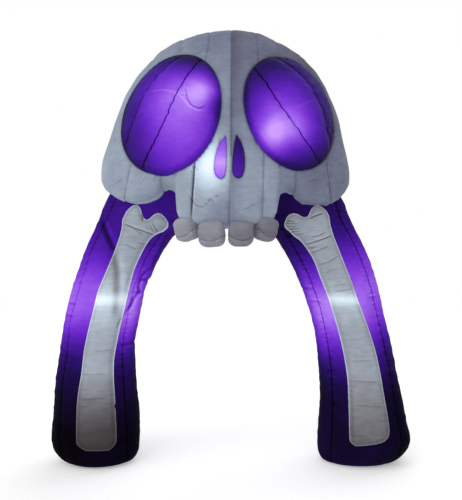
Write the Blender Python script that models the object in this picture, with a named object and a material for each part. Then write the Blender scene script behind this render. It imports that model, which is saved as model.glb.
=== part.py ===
"""Air-filled cloth archway: a white skull head over two purple legs with bone panels."""

import bpy
import numpy as np

# The whole archway, in metres. The front looks along -Y and the feet stand on z = 0.
DEPTH_SHIFT = 0.0785
GAP = 0.0004
SEAT_WIDER = 2.0
SEAT_DEEPER = 4.0
SEAT_OPEN = 0.02

# Skull head: upper outline of the white cloth seen from the front.
HEAD_CROWN_LINE = (
    # x, z
    (-1.038, 2.293), (-1.016, 2.375), (-0.983, 2.460), (-0.943, 2.560), (-0.905, 2.670),
    (-0.874, 2.750), (-0.848, 2.825), (-0.820, 2.895), (-0.784, 2.970), (-0.741, 3.035),
    (-0.688, 3.095), (-0.628, 3.160), (-0.565, 3.228), (-0.483, 3.283), (-0.419, 3.316),
    (-0.189, 3.396), (0.016, 3.424), (0.214, 3.392), (0.396, 3.296), (0.510, 3.235),
    (0.590, 3.172), (0.650, 3.110), (0.696, 3.045), (0.730, 2.985), (0.762, 2.922),
    (0.792, 2.855), (0.818, 2.790), (0.838, 2.735), (0.855, 2.680), (0.877, 2.570),
    (0.895, 2.470), (0.915, 2.400), (0.932, 2.335), (0.947, 2.276),
)
# Lower front edge: cheek, notch, jaw, notch, cheek.
HEAD_FRONT_EDGE = (
    # x, z
    (-1.038, 2.293), (-1.034, 2.236), (-1.015, 2.170), (-0.957, 2.074), (-0.876, 2.008),
    (-0.806, 1.976), (-0.707, 1.951), (-0.630, 1.962), (-0.549, 1.997), (-0.511, 2.047),
    (-0.468, 2.075), (-0.426, 2.061), (-0.403, 2.019), (-0.393, 1.930), (-0.385, 1.845),
    (-0.330, 1.800), (-0.200, 1.775), (0.000, 1.765), (0.160, 1.775), (0.280, 1.808),
    (0.334, 1.860), (0.342, 1.940), (0.349, 1.990), (0.365, 2.029), (0.393, 2.044),
    (0.425, 2.042), (0.463, 2.012), (0.533, 1.947), (0.603, 1.940), (0.702, 1.942),
    (0.744, 1.954), (0.794, 1.983), (0.864, 2.048), (0.922, 2.138), (0.947, 2.276),
)
# Lower back edge, plain.
HEAD_BACK_EDGE = (
    # x, z
    (-1.038, 2.293), (-1.034, 2.236), (-1.015, 2.170), (-0.957, 2.080), (-0.880, 2.015),
    (-0.750, 1.985), (0.650, 1.985), (0.800, 2.005), (0.864, 2.055), (0.922, 2.138),
    (0.947, 2.276),
)
HEAD_SEAMS = (-1.038, -0.740, -0.455, -0.220, 0.000, 0.220, 0.450, 0.720, 0.947)
HEAD_FRONT_DEPTH = 0.60
HEAD_BACK_DEPTH = 0.55
HEAD_PLAN_POWER = 2.8
HEAD_END_POWER = 2.1
HEAD_BROW_POWER = 2.2
HEAD_CHIN_POWER = 3.0
HEAD_NAPE_POWER = 3.4
# How far the face's lower edge stays in front: near the leg cloth, and further at the jaw.
HEAD_EDGE_REACH = 0.35
JAW_EDGE_SHARE = 0.93
JAW_HOLD = ((-0.403, 0.0), (-0.385, 1.0), (0.334, 1.0), (0.349, 0.0))
HEAD_WIDEST = 0.28
HEAD_STRIP_CROWN = 0.012
HEAD_POINTS = 32
CHIN_STEPS = 5
HEAD_STATIONS = (
    -1.034, -1.015, -0.985, -0.957, -0.915, -0.876, -0.806, -0.740, -0.707, -0.630, -0.549,
    -0.511, -0.468, -0.455, -0.426, -0.403, -0.393, -0.385, -0.330, -0.270, -0.220, -0.170,
    -0.110, -0.050, 0.000, 0.050, 0.110, 0.170, 0.220, 0.280, 0.334, 0.342, 0.349, 0.365,
    0.393, 0.425, 0.450, 0.463, 0.533, 0.603, 0.702, 0.720, 0.744, 0.794, 0.830, 0.864,
    0.895, 0.922, 0.940,
)

# Eye domes: egg outlines on the face.
EYES = {
    # name: centre x, centre z, half length, half width, lean in degrees, egg factor
    "eye_left": (-0.439, 2.592, 0.476, 0.365, 16.2, -0.035),
    "eye_right": (0.433, 2.601, 0.450, 0.334, -13.4, 0.022),
}
EYE_RISE = 0.13
EYE_LIP = 0.004
EYE_SINK = 0.05
EYE_GORE_DRAW = 0.010
EYE_ROWS = 15
EYE_COLUMNS = 12

# Nostril panels: level rows from the tip down.
NOSTRILS = {
    "nostril_left": (
        # z, left x, right x
        (2.386, -0.043, -0.038), (2.346, -0.076, -0.033), (2.289, -0.099, -0.032),
        (2.232, -0.113, -0.033), (2.175, -0.119, -0.034), (2.139, -0.117, -0.038),
        (2.110, -0.105, -0.045), (2.088, -0.080, -0.064),
    ),
    "nostril_right": (
        # z, left x, right x
        (2.394, 0.038, 0.043), (2.350, 0.027, 0.068), (2.289, 0.019, 0.089),
        (2.232, 0.014, 0.096), (2.175, 0.012, 0.096), (2.139, 0.013, 0.090),
        (2.112, 0.022, 0.079), (2.094, 0.044, 0.062),
    ),
}
NOSTRIL_RISE = 0.010
NOSTRIL_SINK = 0.030

# Teeth: filled blocks along the jaw.
TEETH = {
    # name: centre x, y, z, half width, half depth, half height, roll, turn in degrees
    "tooth_1": (-0.316, -0.500, 1.742, 0.080, 0.085, 0.088, -14.0, -24.0),
    "tooth_2": (-0.136, -0.555, 1.700, 0.094, 0.095, 0.092, -2.0, -6.0),
    "tooth_3": (0.069, -0.555, 1.702, 0.089, 0.095, 0.090, 1.0, 6.0),
    "tooth_4": (0.246, -0.500, 1.742, 0.080, 0.085, 0.088, 14.0, 24.0),
}
TOOTH_POWER = 3.2
TOOTH_RINGS = 10
TOOTH_POINTS = 16

# Arch tube from the left foot over the crown to the right foot. Each row is a section
# between an outer and an inner point, with its half depth along Y.
ARCH = (
    # outer x, outer z, inner x, inner z, half depth
    (-1.210, 0.000, -0.800, 0.000, 0.200),
    (-1.275, 0.016, -0.755, 0.016, 0.245),
    (-1.328, 0.055, -0.728, 0.055, 0.287),
    (-1.364, 0.120, -0.714, 0.120, 0.325),
    (-1.378, 0.210, -0.714, 0.210, 0.340),
    (-1.380, 0.423, -0.729, 0.423, 0.340),
    (-1.374, 0.631, -0.746, 0.631, 0.335),
    (-1.337, 0.896, -0.764, 0.880, 0.325),
    (-1.305, 1.116, -0.745, 1.040, 0.320),
    (-1.263, 1.291, -0.715, 1.200, 0.320),
    (-1.224, 1.426, -0.685, 1.330, 0.320),
    (-1.187, 1.554, -0.640, 1.440, 0.320),
    (-1.141, 1.675, -0.593, 1.554, 0.320),
    (-1.068, 1.845, -0.518, 1.675, 0.315),
    (-0.968, 2.082, -0.454, 1.756, 0.310),
    (-0.820, 2.250, -0.390, 1.805, 0.305),
    (-0.560, 2.370, -0.300, 1.828, 0.300),
    (-0.300, 2.400, -0.180, 1.835, 0.300),
    (-0.050, 2.410, -0.050, 1.838, 0.300),
    (0.220, 2.400, 0.090, 1.833, 0.300),
    (0.480, 2.360, 0.210, 1.822, 0.300),
    (0.720, 2.230, 0.290, 1.797, 0.305),
    (0.874, 2.058, 0.348, 1.748, 0.310),
    (0.940, 1.902, 0.410, 1.655, 0.315),
    (1.014, 1.748, 0.470, 1.550, 0.320),
    (1.066, 1.635, 0.510, 1.470, 0.320),
    (1.117, 1.506, 0.560, 1.350, 0.320),
    (1.176, 1.330, 0.615, 1.190, 0.320),
    (1.213, 1.140, 0.655, 1.030, 0.320),
    (1.259, 0.943, 0.680, 0.870, 0.325),
    (1.297, 0.748, 0.696, 0.700, 0.330),
    (1.334, 0.523, 0.695, 0.500, 0.335),
    (1.366, 0.316, 0.688, 0.316, 0.340),
    (1.380, 0.200, 0.680, 0.200, 0.337),
    (1.365, 0.120, 0.678, 0.120, 0.317),
    (1.322, 0.055, 0.684, 0.055, 0.267),
    (1.262, 0.016, 0.705, 0.016, 0.220),
    (1.200, 0.000, 0.745, 0.000, 0.175),
)
ARCH_POINTS = 24
ARCH_SEAM_DRAW = 0.020
LEG_LEFT_LAST = 16
LEG_RIGHT_FIRST = 20

# Bone panels on the leg fronts: rows from the foot up to the knobs.
BONES = {
    "bone_left": (
        # left x, left z, right x, right z
        (-1.040, 0.158, -0.885, 0.150),
        (-1.094, 0.190, -0.850, 0.180),
        (-1.112, 0.240, -0.838, 0.235),
        (-1.113, 0.497, -0.852, 0.480),
        (-1.088, 0.708, -0.868, 0.690),
        (-1.073, 0.873, -0.866, 0.830),
        (-1.046, 1.023, -0.837, 1.010),
        (-1.015, 1.160, -0.809, 1.140),
        (-0.982, 1.302, -0.769, 1.330),
        (-0.930, 1.435, -0.731, 1.465),
        (-0.872, 1.580, -0.680, 1.585),
        (-0.832, 1.700, -0.630, 1.680),
        (-0.815, 1.775, -0.557, 1.755),
        (-0.814, 1.830, -0.483, 1.820),
    ),
    "bone_right": (
        # left x, left z, right x, right z
        (0.900, 0.185, 1.040, 0.205),
        (0.872, 0.205, 1.105, 0.225),
        (0.861, 0.245, 1.143, 0.275),
        (0.860, 0.400, 1.138, 0.380),
        (0.858, 0.601, 1.110, 0.570),
        (0.848, 0.724, 1.090, 0.705),
        (0.820, 0.903, 1.055, 0.880),
        (0.768, 1.116, 0.995, 1.075),
        (0.720, 1.274, 0.940, 1.225),
        (0.672, 1.400, 0.885, 1.390),
        (0.619, 1.540, 0.825, 1.550),
        (0.536, 1.670, 0.770, 1.700),
        (0.458, 1.745, 0.744, 1.790),
        (0.409, 1.805, 0.738, 1.850),
    ),
}
# The two knobs at each bone's top: rise over the last row, across the panel.
BONE_KNOBS = {
    # share across, rise
    "bone_left": ((0.0, 0.0), (0.045, 0.040), (0.075, 0.063), (0.15, 0.092), (0.23, 0.114),
                  (0.31, 0.122), (0.37, 0.112), (0.42, 0.087), (0.445, 0.045), (0.48, 0.020),
                  (0.545, 0.008), (0.615, 0.023), (0.68, 0.047), (0.745, 0.062),
                  (0.81, 0.068), (0.87, 0.061), (0.92, 0.047), (0.975, 0.028), (1.0, 0.0)),
    "bone_right": ((0.0, 0.0), (0.03, 0.048), (0.10, 0.067), (0.19, 0.072), (0.30, 0.058),
                   (0.37, 0.036), (0.44, 0.028), (0.52, 0.028), (0.56, 0.065), (0.60, 0.090),
                   (0.69, 0.108), (0.75, 0.110), (0.87, 0.080), (0.94, 0.054),
                   (0.985, 0.028), (1.0, 0.0)),
}
BONE_COLUMNS = 16
BONE_RISE = 0.014
BONE_SINK = 0.060


def clear_scene():
    for old in list(bpy.data.objects):
        bpy.data.objects.remove(old, do_unlink=True)


def paint(name, colour, roughness):
    material = bpy.data.materials.new(name)
    material.use_nodes = True
    shader = material.node_tree.nodes["Principled BSDF"]
    shader.inputs["Base Color"].default_value = (*colour, 1.0)
    shader.inputs["Roughness"].default_value = roughness
    shader.inputs["Metallic"].default_value = 0.0
    return material


def solid(name, points, faces, material=None):
    """A mesh object from points before the depth shift."""
    points = np.asarray(points, float) + (0.0, DEPTH_SHIFT, 0.0)
    mesh = bpy.data.meshes.new(name)
    mesh.from_pydata(points.tolist(), [], faces)
    mesh.polygons.foreach_set("use_smooth", [True] * len(mesh.polygons))
    mesh.update()
    made = bpy.data.objects.new(name, mesh)
    bpy.context.scene.collection.objects.link(made)
    if material:
        mesh.materials.append(material)
    return made


def cut(body, cutter):
    """Takes the cutter's shape away from the body and hides the cutter."""
    cutter.hide_render = True
    cutter.display_type = "WIRE"
    change = body.modifiers.new("cut", "BOOLEAN")
    change.operation = "DIFFERENCE"
    change.solver = "EXACT"
    change.object = cutter


def closed_rings(rings, start=None, end=None):
    """Points and faces of a body lofted through rings, closed by tips or flat ends."""
    count = len(rings[0])
    points = [p for ring in rings for p in ring]
    faces = []
    for row in range(len(rings) - 1):
        low = row * count
        for i in range(count):
            j = (i + 1) % count
            faces.append((low + i, low + j, low + count + j))
            faces.append((low + i, low + count + j, low + count + i))
    last = (len(rings) - 1) * count
    if start is None:
        faces.append(tuple(reversed(range(count))))
    else:
        tip = len(points)
        points.append(start)
        faces += [(tip, (i + 1) % count, i) for i in range(count)]
    if end is None:
        faces.append(tuple(range(last, last + count)))
    else:
        tip = len(points)
        points.append(end)
        faces += [(tip, last + i, last + (i + 1) % count) for i in range(count)]
    return points, faces


def outward(points, faces):
    """Turns the faces round if they look inwards."""
    points = np.asarray(points, float)
    volume = 0.0
    for face in faces:
        for i in range(1, len(face) - 1):
            a, b, c = points[face[0]], points[face[i]], points[face[i + 1]]
            volume += float(np.dot(a, np.cross(b, c)))
    if volume < 0:
        faces = [tuple(reversed(face)) for face in faces]
    return points, faces


def line(table, x):
    rows = np.array(table)
    return float(np.interp(x, rows[:, 0], rows[:, 1]))


def power_round(value, power):
    return max(0.0, 1.0 - abs(value) ** power) ** (1.0 / power)


def plan_share(x):
    """How much of the full depth the head keeps at this x: rounded off at both ends."""
    reach = abs(x / (HEAD_SEAMS[0] if x < 0 else HEAD_SEAMS[-1]))
    return max(0.0, 1.0 - min(reach, 1.0) ** HEAD_PLAN_POWER) ** (1.0 / HEAD_END_POWER)


def strip_draw(x):
    """How far the cloth is drawn in from its crown, deepest on a seam."""
    place = int(np.clip(np.searchsorted(HEAD_SEAMS, x, side="right"), 1, len(HEAD_SEAMS) - 1))
    low, high = HEAD_SEAMS[place - 1], HEAD_SEAMS[place]
    across = (x - low) / (high - low)
    return HEAD_STRIP_CROWN * (2.0 * across - 1.0) ** 2


def head_middle(x):
    base = line(HEAD_BACK_EDGE, x)
    return base + HEAD_WIDEST * (line(HEAD_CROWN_LINE, x) - base)


def edge_share(x):
    """The share of the face's depth that its lower edge keeps."""
    cheek = HEAD_EDGE_REACH / max(HEAD_FRONT_DEPTH * plan_share(x), 0.05)
    hold = line(JAW_HOLD, x)
    return min(cheek, 0.90) * (1.0 - hold) + JAW_EDGE_SHARE * hold


def face_y(x, z):
    """The face's crowned surface, where the eyes and nostrils are sewn in."""
    middle = head_middle(x)
    if z >= middle:
        rise = (z - middle) / max(line(HEAD_CROWN_LINE, x) - middle, 1e-6)
        share = power_round(min(rise, 1.0), HEAD_BROW_POWER)
    else:
        drop = (middle - z) / (middle - line(HEAD_FRONT_EDGE, x))
        keep = edge_share(x)
        share = keep + (1.0 - keep) * power_round(min(drop, 1.0), HEAD_CHIN_POWER)
    return -HEAD_FRONT_DEPTH * plan_share(x) * share


def head_ring(x, grow):
    """One fore-and-aft slice of the head."""
    top = line(HEAD_CROWN_LINE, x)
    middle = head_middle(x)
    front_low = line(HEAD_FRONT_EDGE, x)
    back_low = line(HEAD_BACK_EDGE, x)
    draw = min(strip_draw(x), 0.3 * HEAD_FRONT_DEPTH * plan_share(x))
    keep = edge_share(x)
    quarter = HEAD_POINTS // 4
    ring = []
    for i in range(HEAD_POINTS):
        angle = 2.0 * np.pi * i / HEAD_POINTS
        upper = i <= 2 * quarter
        under = i - 2 * quarter
        power = HEAD_BROW_POWER if upper else HEAD_NAPE_POWER
        out = np.sign(np.cos(angle)) * abs(np.cos(angle)) ** (2.0 / power)
        lift = np.sign(np.sin(angle)) * abs(np.sin(angle)) ** (2.0 / power)
        if 0 < under <= CHIN_STEPS:
            angle = 0.5 * np.pi * under / CHIN_STEPS
            out = -keep - (1.0 - keep) * max(0.0, np.cos(angle)) ** (2.0 / HEAD_CHIN_POWER)
            lift = -(np.sin(angle) ** (2.0 / HEAD_CHIN_POWER))
        elif CHIN_STEPS < under < quarter:
            out = -keep * (quarter - under) / (quarter - CHIN_STEPS)
            lift = -1.0
        depth = HEAD_FRONT_DEPTH if out < 0 else HEAD_BACK_DEPTH
        y = (depth * plan_share(x) - draw + grow) * out
        if upper:
            z = middle + (top - middle - 0.5 * draw + grow) * lift
        else:
            blend = float(np.clip((out + 0.45) / 0.60, 0.0, 1.0))
            blend = blend * blend * (3.0 - 2.0 * blend)
            low = front_low + (back_low - front_low) * blend
            z = middle + (middle - low + grow) * lift
        ring.append((x, y, z))
    return ring


def head_body(name, grow, material=None):
    rings = [head_ring(x, grow) for x in HEAD_STATIONS]
    start = (HEAD_SEAMS[0] - grow, 0.0, 2.290)
    end = (HEAD_SEAMS[-1] + grow, 0.0, 2.276)
    points, faces = outward(*closed_rings(rings, start, end))
    return solid(name, points, faces, material)


def arch_ring(row, grow):
    outer_x, outer_z, inner_x, inner_z, depth = row
    middle = np.array([(outer_x + inner_x) / 2.0, (outer_z + inner_z) / 2.0])
    side = np.array([outer_x, outer_z]) - middle
    reach = float(np.linalg.norm(side))
    side = side / reach
    ring = []
    for i in range(ARCH_POINTS):
        angle = 2.0 * np.pi * i / ARCH_POINTS
        across = (angle / (np.pi / 2.0) - 0.5) % 1.0
        keep = 1.0 - ARCH_SEAM_DRAW * (2.0 * across - 1.0) ** 8
        along = (reach + grow) * np.cos(angle) * keep
        ring.append((
            middle[0] + side[0] * along,
            (depth + grow) * np.sin(angle) * keep,
            middle[1] + side[1] * along,
        ))
    return ring


def arch_body(name, first, last, grow, material=None, trim=(0.0, 0.0)):
    """The tube between two rows, its hidden ends pulled back by trim towards its middle."""
    rings = [arch_ring(row, grow) for row in ARCH[first:last + 1]]
    for end, near, share in ((0, 1, trim[0]), (-1, -2, trim[1])):
        if share:
            far = np.array(rings[end])
            rings[end] = (far + share * (np.array(rings[near]) - far)).tolist()
    points, faces = outward(*closed_rings(rings))
    return solid(name, points, faces, material)


def pad(name, rows, front, back, material=None, knobs=None, columns=8, grow=0.0):
    """A filled panel over a grid: rows hold left and right points, front and back give y.

    With grow it is the seat of that panel: a little wider, deeper and open to the front.
    """
    count = columns + 1
    last = (len(rows) - 1) * count
    near, far = [], []
    for place, (left_x, left_z, right_x, right_z) in enumerate(rows):
        for i in range(count):
            share = i / columns
            x = left_x + (right_x - left_x) * share
            z = left_z + (right_z - left_z) * share
            if knobs and place >= len(rows) - 2:
                part = 0.5 if place == len(rows) - 2 else 1.0
                z += part * line(knobs, share)
            along = place / (len(rows) - 1)
            near.append((x, front(x, z, share, along), z))
            far.append((x, back(x, z, share, along), z))
    rim = list(range(columns))
    rim += [r * count + columns for r in range(len(rows) - 1)]
    rim += [last + columns - i for i in range(columns)]
    rim += [r * count for r in range(len(rows) - 1, 0, -1)]
    near, far = np.array(near), np.array(far)
    if grow:
        loop = near[rim][:, [0, 2]]
        run = np.roll(loop, -1, axis=0) - np.roll(loop, 1, axis=0)
        away = np.stack([run[:, 1], -run[:, 0]], axis=1)
        away /= np.linalg.norm(away, axis=1, keepdims=True)
        far[:, 1] += grow
        far[rim, 1] += SEAT_DEEPER * grow
        near[:, 1] -= SEAT_OPEN
        for layer in (near, far):
            layer[np.ix_(rim, [0, 2])] += SEAT_WIDER * grow * away
    points = np.concatenate([near, far])
    half = len(near)
    faces = []
    for row in range(len(rows) - 1):
        for i in range(columns):
            a = row * count + i
            b, c, d = a + 1, a + count + 1, a + count
            faces += [(a, b, c), (a, c, d)]
            faces += [(half + c, half + b, half + a), (half + d, half + c, half + a)]
    for a, b in zip(rim, rim[1:] + rim[:1]):
        faces += [(b, a, half + a), (b, half + a, half + b)]
    points, faces = outward(points, faces)
    return solid(name, points, faces, material)


def eye_rows(values):
    centre_x, centre_z, length, width, lean, egg = values
    lean = np.radians(lean)
    rows = []
    for i in range(EYE_ROWS):
        along = -np.cos(np.pi * (0.06 + 0.88 * i / (EYE_ROWS - 1)))
        half = width * np.sqrt(1.0 - along * along) * (1.0 + egg * along)
        reach = length * along
        x = centre_x + np.sin(lean) * reach
        z = centre_z + np.cos(lean) * reach
        rows.append((
            x - np.cos(lean) * half, z + np.sin(lean) * half,
            x + np.cos(lean) * half, z - np.sin(lean) * half,
        ))
    return rows


def eye_body(name, material=None):
    def front(x, z, share, along):
        level = np.cos(np.pi * (0.06 + 0.88 * along))
        dome = (1.0 - level * level) * (1.0 - (2.0 * share - 1.0) ** 2)
        gore = abs(((4.0 * share) % 1.0) * 2.0 - 1.0) ** 6
        draw = EYE_GORE_DRAW * gore * dome ** 0.5
        return face_y(x, z) - EYE_LIP - EYE_RISE * dome ** 0.65 + draw

    def back(x, z, share, along):
        return face_y(x, z) + EYE_SINK

    label = name if material else name + "_cutter"
    grow = 0.0 if material else GAP
    rows = eye_rows(EYES[name])
    return pad(label, rows, front, back, material, columns=EYE_COLUMNS, grow=grow)


def nostril_body(name, material=None):
    def front(x, z, share, along):
        crown = 4.0 * share * (1.0 - share) * np.sin(np.pi * along)
        return face_y(x, z) - 0.003 - NOSTRIL_RISE * crown

    def back(x, z, share, along):
        return face_y(x, z) + NOSTRIL_SINK

    rows = [(left, z, right, z) for z, left, right in reversed(NOSTRILS[name])]
    label = name if material else name + "_cutter"
    grow = 0.0 if material else GAP
    return pad(label, rows, front, back, material, columns=6, grow=grow)


def tooth_body(name, material):
    x, y, z, width, depth, height, roll, turn = TEETH[name]
    roll, turn = np.radians(roll), np.radians(turn)
    about_y = np.array([
        [np.cos(roll), 0, np.sin(roll)],
        [0, 1, 0],
        [-np.sin(roll), 0, np.cos(roll)],
    ])
    about_z = np.array([
        [np.cos(turn), -np.sin(turn), 0],
        [np.sin(turn), np.cos(turn), 0],
        [0, 0, 1],
    ])
    spin = about_y @ about_z

    def place(local):
        return (spin @ np.array(local) + (x, y, z)).tolist()

    rings = []
    for i in range(1, TOOTH_RINGS):
        level = np.pi * (i / TOOTH_RINGS - 0.5)
        lift = np.sign(np.sin(level)) * abs(np.sin(level)) ** (2.0 / TOOTH_POWER)
        shrink = np.cos(level) ** (2.0 / TOOTH_POWER)
        ring = []
        for j in range(TOOTH_POINTS):
            angle = 2.0 * np.pi * (j + 0.5) / TOOTH_POINTS
            east = np.sign(np.cos(angle)) * abs(np.cos(angle)) ** (2.0 / TOOTH_POWER)
            north = np.sign(np.sin(angle)) * abs(np.sin(angle)) ** (2.0 / TOOTH_POWER)
            ring.append(place((
                width * shrink * east,
                depth * shrink * north,
                height * lift,
            )))
        rings.append(ring)
    start = place((0, 0, -height))
    end = place((0, 0, height))
    points, faces = outward(*closed_rings(rings, start, end))
    return solid(name, points, faces, material)


def arch_front(x, z):
    """Front surface of the arch tube at a point of its side view."""
    best, found = 1e9, 0.0
    for low, high in zip(ARCH[:-1], ARCH[1:]):
        for share in np.linspace(0.0, 1.0, 9):
            row = [a + (b - a) * share for a, b in zip(low, high)]
            outer, inner = np.array(row[0:2]), np.array(row[2:4])
            middle, side = (outer + inner) / 2.0, (outer - inner) / 2.0
            reach = float(np.linalg.norm(side))
            offset = np.array([x, z]) - middle
            along = float(np.dot(offset, side)) / reach
            off = abs(float(offset[0] * side[1] - offset[1] * side[0])) / reach
            if off < best and abs(along) < 1.1 * reach:
                best = off
                found = -row[4] * np.sqrt(max(0.02, 1.0 - (along / reach) ** 2))
    return found


def bone_body(name, material):
    def front(x, z, share, along):
        crown = (1.0 - (2.0 * share - 1.0) ** 4) * min(1.0, 8.0 * along, 8.0 * (1.0 - along))
        return arch_front(x, z) - 0.006 - BONE_RISE * crown

    def back(x, z, share, along):
        return arch_front(x, z) + BONE_SINK

    return pad(name, BONES[name], front, back, material, BONE_KNOBS[name], BONE_COLUMNS)


clear_scene()
white_cloth = paint("white_cloth", (0.62, 0.66, 0.70), 0.62)
tooth_cloth = paint("tooth_cloth", (0.60, 0.58, 0.57), 0.62)
purple_cloth = paint("purple_cloth", (0.13, 0.03, 0.50), 0.50)
eye_cloth = paint("eye_cloth", (0.23, 0.06, 0.72), 0.42)
nostril_cloth = paint("nostril_cloth", (0.20, 0.07, 0.52), 0.50)
bone_cloth = paint("bone_cloth", (0.55, 0.58, 0.61), 0.62)

# Arch: two legs and the crown between them, each pulled back a little at the hidden joins.
end_row = len(ARCH) - 1
leg_left = arch_body("leg_left", 0, LEG_LEFT_LAST, 0.0, purple_cloth, (0.0, 0.002))
crown = arch_body("crown", LEG_LEFT_LAST, LEG_RIGHT_FIRST, 0.0, purple_cloth)
leg_right = arch_body("leg_right", LEG_RIGHT_FIRST, end_row, 0.0, purple_cloth, (0.002, 0.0))
arch_cutter = arch_body("arch_cutter", 0, end_row, GAP)

# Head: sewn round the arch, with a seat for each eye and nostril.
head = head_body("head", 0.0, white_cloth)
cut(head, arch_cutter)
for eye in EYES:
    eye_body(eye, eye_cloth)
    cut(head, eye_body(eye))
for nostril in NOSTRILS:
    nostril_body(nostril, nostril_cloth)
    cut(head, nostril_body(nostril))

# Teeth: sewn against the jaw.
head_cutter = head_body("head_cutter", GAP)
for tooth in TEETH:
    cut(tooth_body(tooth, tooth_cloth), head_cutter)

# Bone panels: sewn on the legs and tucked under the cheeks.
for bone in BONES:
    panel = bone_body(bone, bone_cloth)
    cut(panel, arch_cutter)
    cut(panel, head_cutter)
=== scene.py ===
import bpy
import numpy as np
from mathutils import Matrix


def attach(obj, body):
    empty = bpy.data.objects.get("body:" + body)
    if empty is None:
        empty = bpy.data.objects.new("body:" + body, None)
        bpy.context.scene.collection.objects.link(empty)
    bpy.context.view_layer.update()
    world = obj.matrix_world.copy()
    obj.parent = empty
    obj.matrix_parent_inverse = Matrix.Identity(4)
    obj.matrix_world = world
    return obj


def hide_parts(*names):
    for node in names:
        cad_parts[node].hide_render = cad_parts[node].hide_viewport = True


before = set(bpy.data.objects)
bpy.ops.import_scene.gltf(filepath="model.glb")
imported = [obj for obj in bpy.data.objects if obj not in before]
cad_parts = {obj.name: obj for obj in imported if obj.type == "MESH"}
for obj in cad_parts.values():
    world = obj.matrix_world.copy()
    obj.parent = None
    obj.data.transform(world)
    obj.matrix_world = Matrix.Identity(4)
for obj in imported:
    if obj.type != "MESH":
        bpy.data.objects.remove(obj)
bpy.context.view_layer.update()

# ---------------------------------------------------------------------------------------
# Purple arch: one long air-filled tube of coated polyester from foot to foot, cut in four
# gores and sewn edge to edge. Lamps hang inside each leg, so the thin cloth glows at about
# chest height and goes dark down at the feet.

ARCH = (
    # outer x, outer z, inner x, inner z, half depth
    (-1.210, 0.000, -0.800, 0.000, 0.200),
    (-1.275, 0.016, -0.755, 0.016, 0.245),
    (-1.328, 0.055, -0.728, 0.055, 0.287),
    (-1.364, 0.120, -0.714, 0.120, 0.325),
    (-1.378, 0.210, -0.714, 0.210, 0.340),
    (-1.374, 0.423, -0.729, 0.423, 0.340),
    (-1.364, 0.631, -0.746, 0.631, 0.335),
    (-1.328, 0.896, -0.764, 0.880, 0.325),
    (-1.305, 1.116, -0.745, 1.040, 0.320),
    (-1.263, 1.291, -0.715, 1.200, 0.320),
    (-1.224, 1.426, -0.685, 1.330, 0.320),
    (-1.187, 1.554, -0.640, 1.440, 0.320),
    (-1.141, 1.675, -0.593, 1.554, 0.320),
    (-1.068, 1.845, -0.518, 1.675, 0.315),
    (-0.968, 2.082, -0.454, 1.756, 0.310),
    (-0.820, 2.250, -0.390, 1.805, 0.305),
    (-0.560, 2.370, -0.300, 1.828, 0.300),
    (-0.300, 2.400, -0.180, 1.835, 0.300),
    (-0.050, 2.410, -0.050, 1.838, 0.300),
    (0.220, 2.400, 0.090, 1.833, 0.300),
    (0.480, 2.360, 0.210, 1.822, 0.300),
    (0.720, 2.230, 0.290, 1.797, 0.305),
    (0.874, 2.058, 0.348, 1.748, 0.310),
    (0.940, 1.902, 0.410, 1.655, 0.315),
    (1.014, 1.748, 0.470, 1.550, 0.320),
    (1.066, 1.635, 0.510, 1.470, 0.320),
    (1.117, 1.506, 0.560, 1.350, 0.320),
    (1.166, 1.330, 0.615, 1.190, 0.320),
    (1.201, 1.140, 0.655, 1.030, 0.320),
    (1.244, 0.943, 0.680, 0.870, 0.325),
    (1.281, 0.748, 0.696, 0.700, 0.330),
    (1.319, 0.523, 0.695, 0.500, 0.335),
    (1.354, 0.316, 0.688, 0.316, 0.340),
    (1.380, 0.200, 0.680, 0.200, 0.337),
    (1.365, 0.120, 0.678, 0.120, 0.317),
    (1.322, 0.055, 0.684, 0.055, 0.267),
    (1.262, 0.016, 0.705, 0.016, 0.220),
    (1.200, 0.000, 0.745, 0.000, 0.175),
)
# The tube stands this far behind the middle of the whole archway.
SET_BACK = 0.0785
HIDDEN_ROWS = (15.0, 21.5)
GORE_COLUMNS = 26
GORE_DRAW = 0.020
# Seams between gores, in half turns round the tube from its outer side; front past 1.
TUBE_SEAMS = (0.22, 0.72, 1.195, 1.725, 2.22)
SEAM_DIP = 0.005

# The lamp inside each leg, as it lights the cloth on its outer side, front and inner side:
# lamp height, how far its light reaches up and down, its strength, and the even glow of the
# cloth high up and down at the floor.
LEG_LAMPS = {
    "left outer": (1.24, 0.34, 0.30, 0.50, 0.32, 0.00),
    "left front": (1.24, 0.26, 0.28, 0.46, 0.34, 0.02),
    "left inner": (1.20, 0.32, 0.30, 0.56, 0.33, 0.02),
    "right inner": (1.18, 0.31, 0.36, 0.72, 0.16, 0.10),
    "right front": (1.21, 0.35, 0.37, 0.66, 0.22, 0.14),
    "right outer": (1.34, 0.38, 0.40, 0.60, 0.18, 0.02),
}
GLOW_STARTS = 0.15
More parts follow.
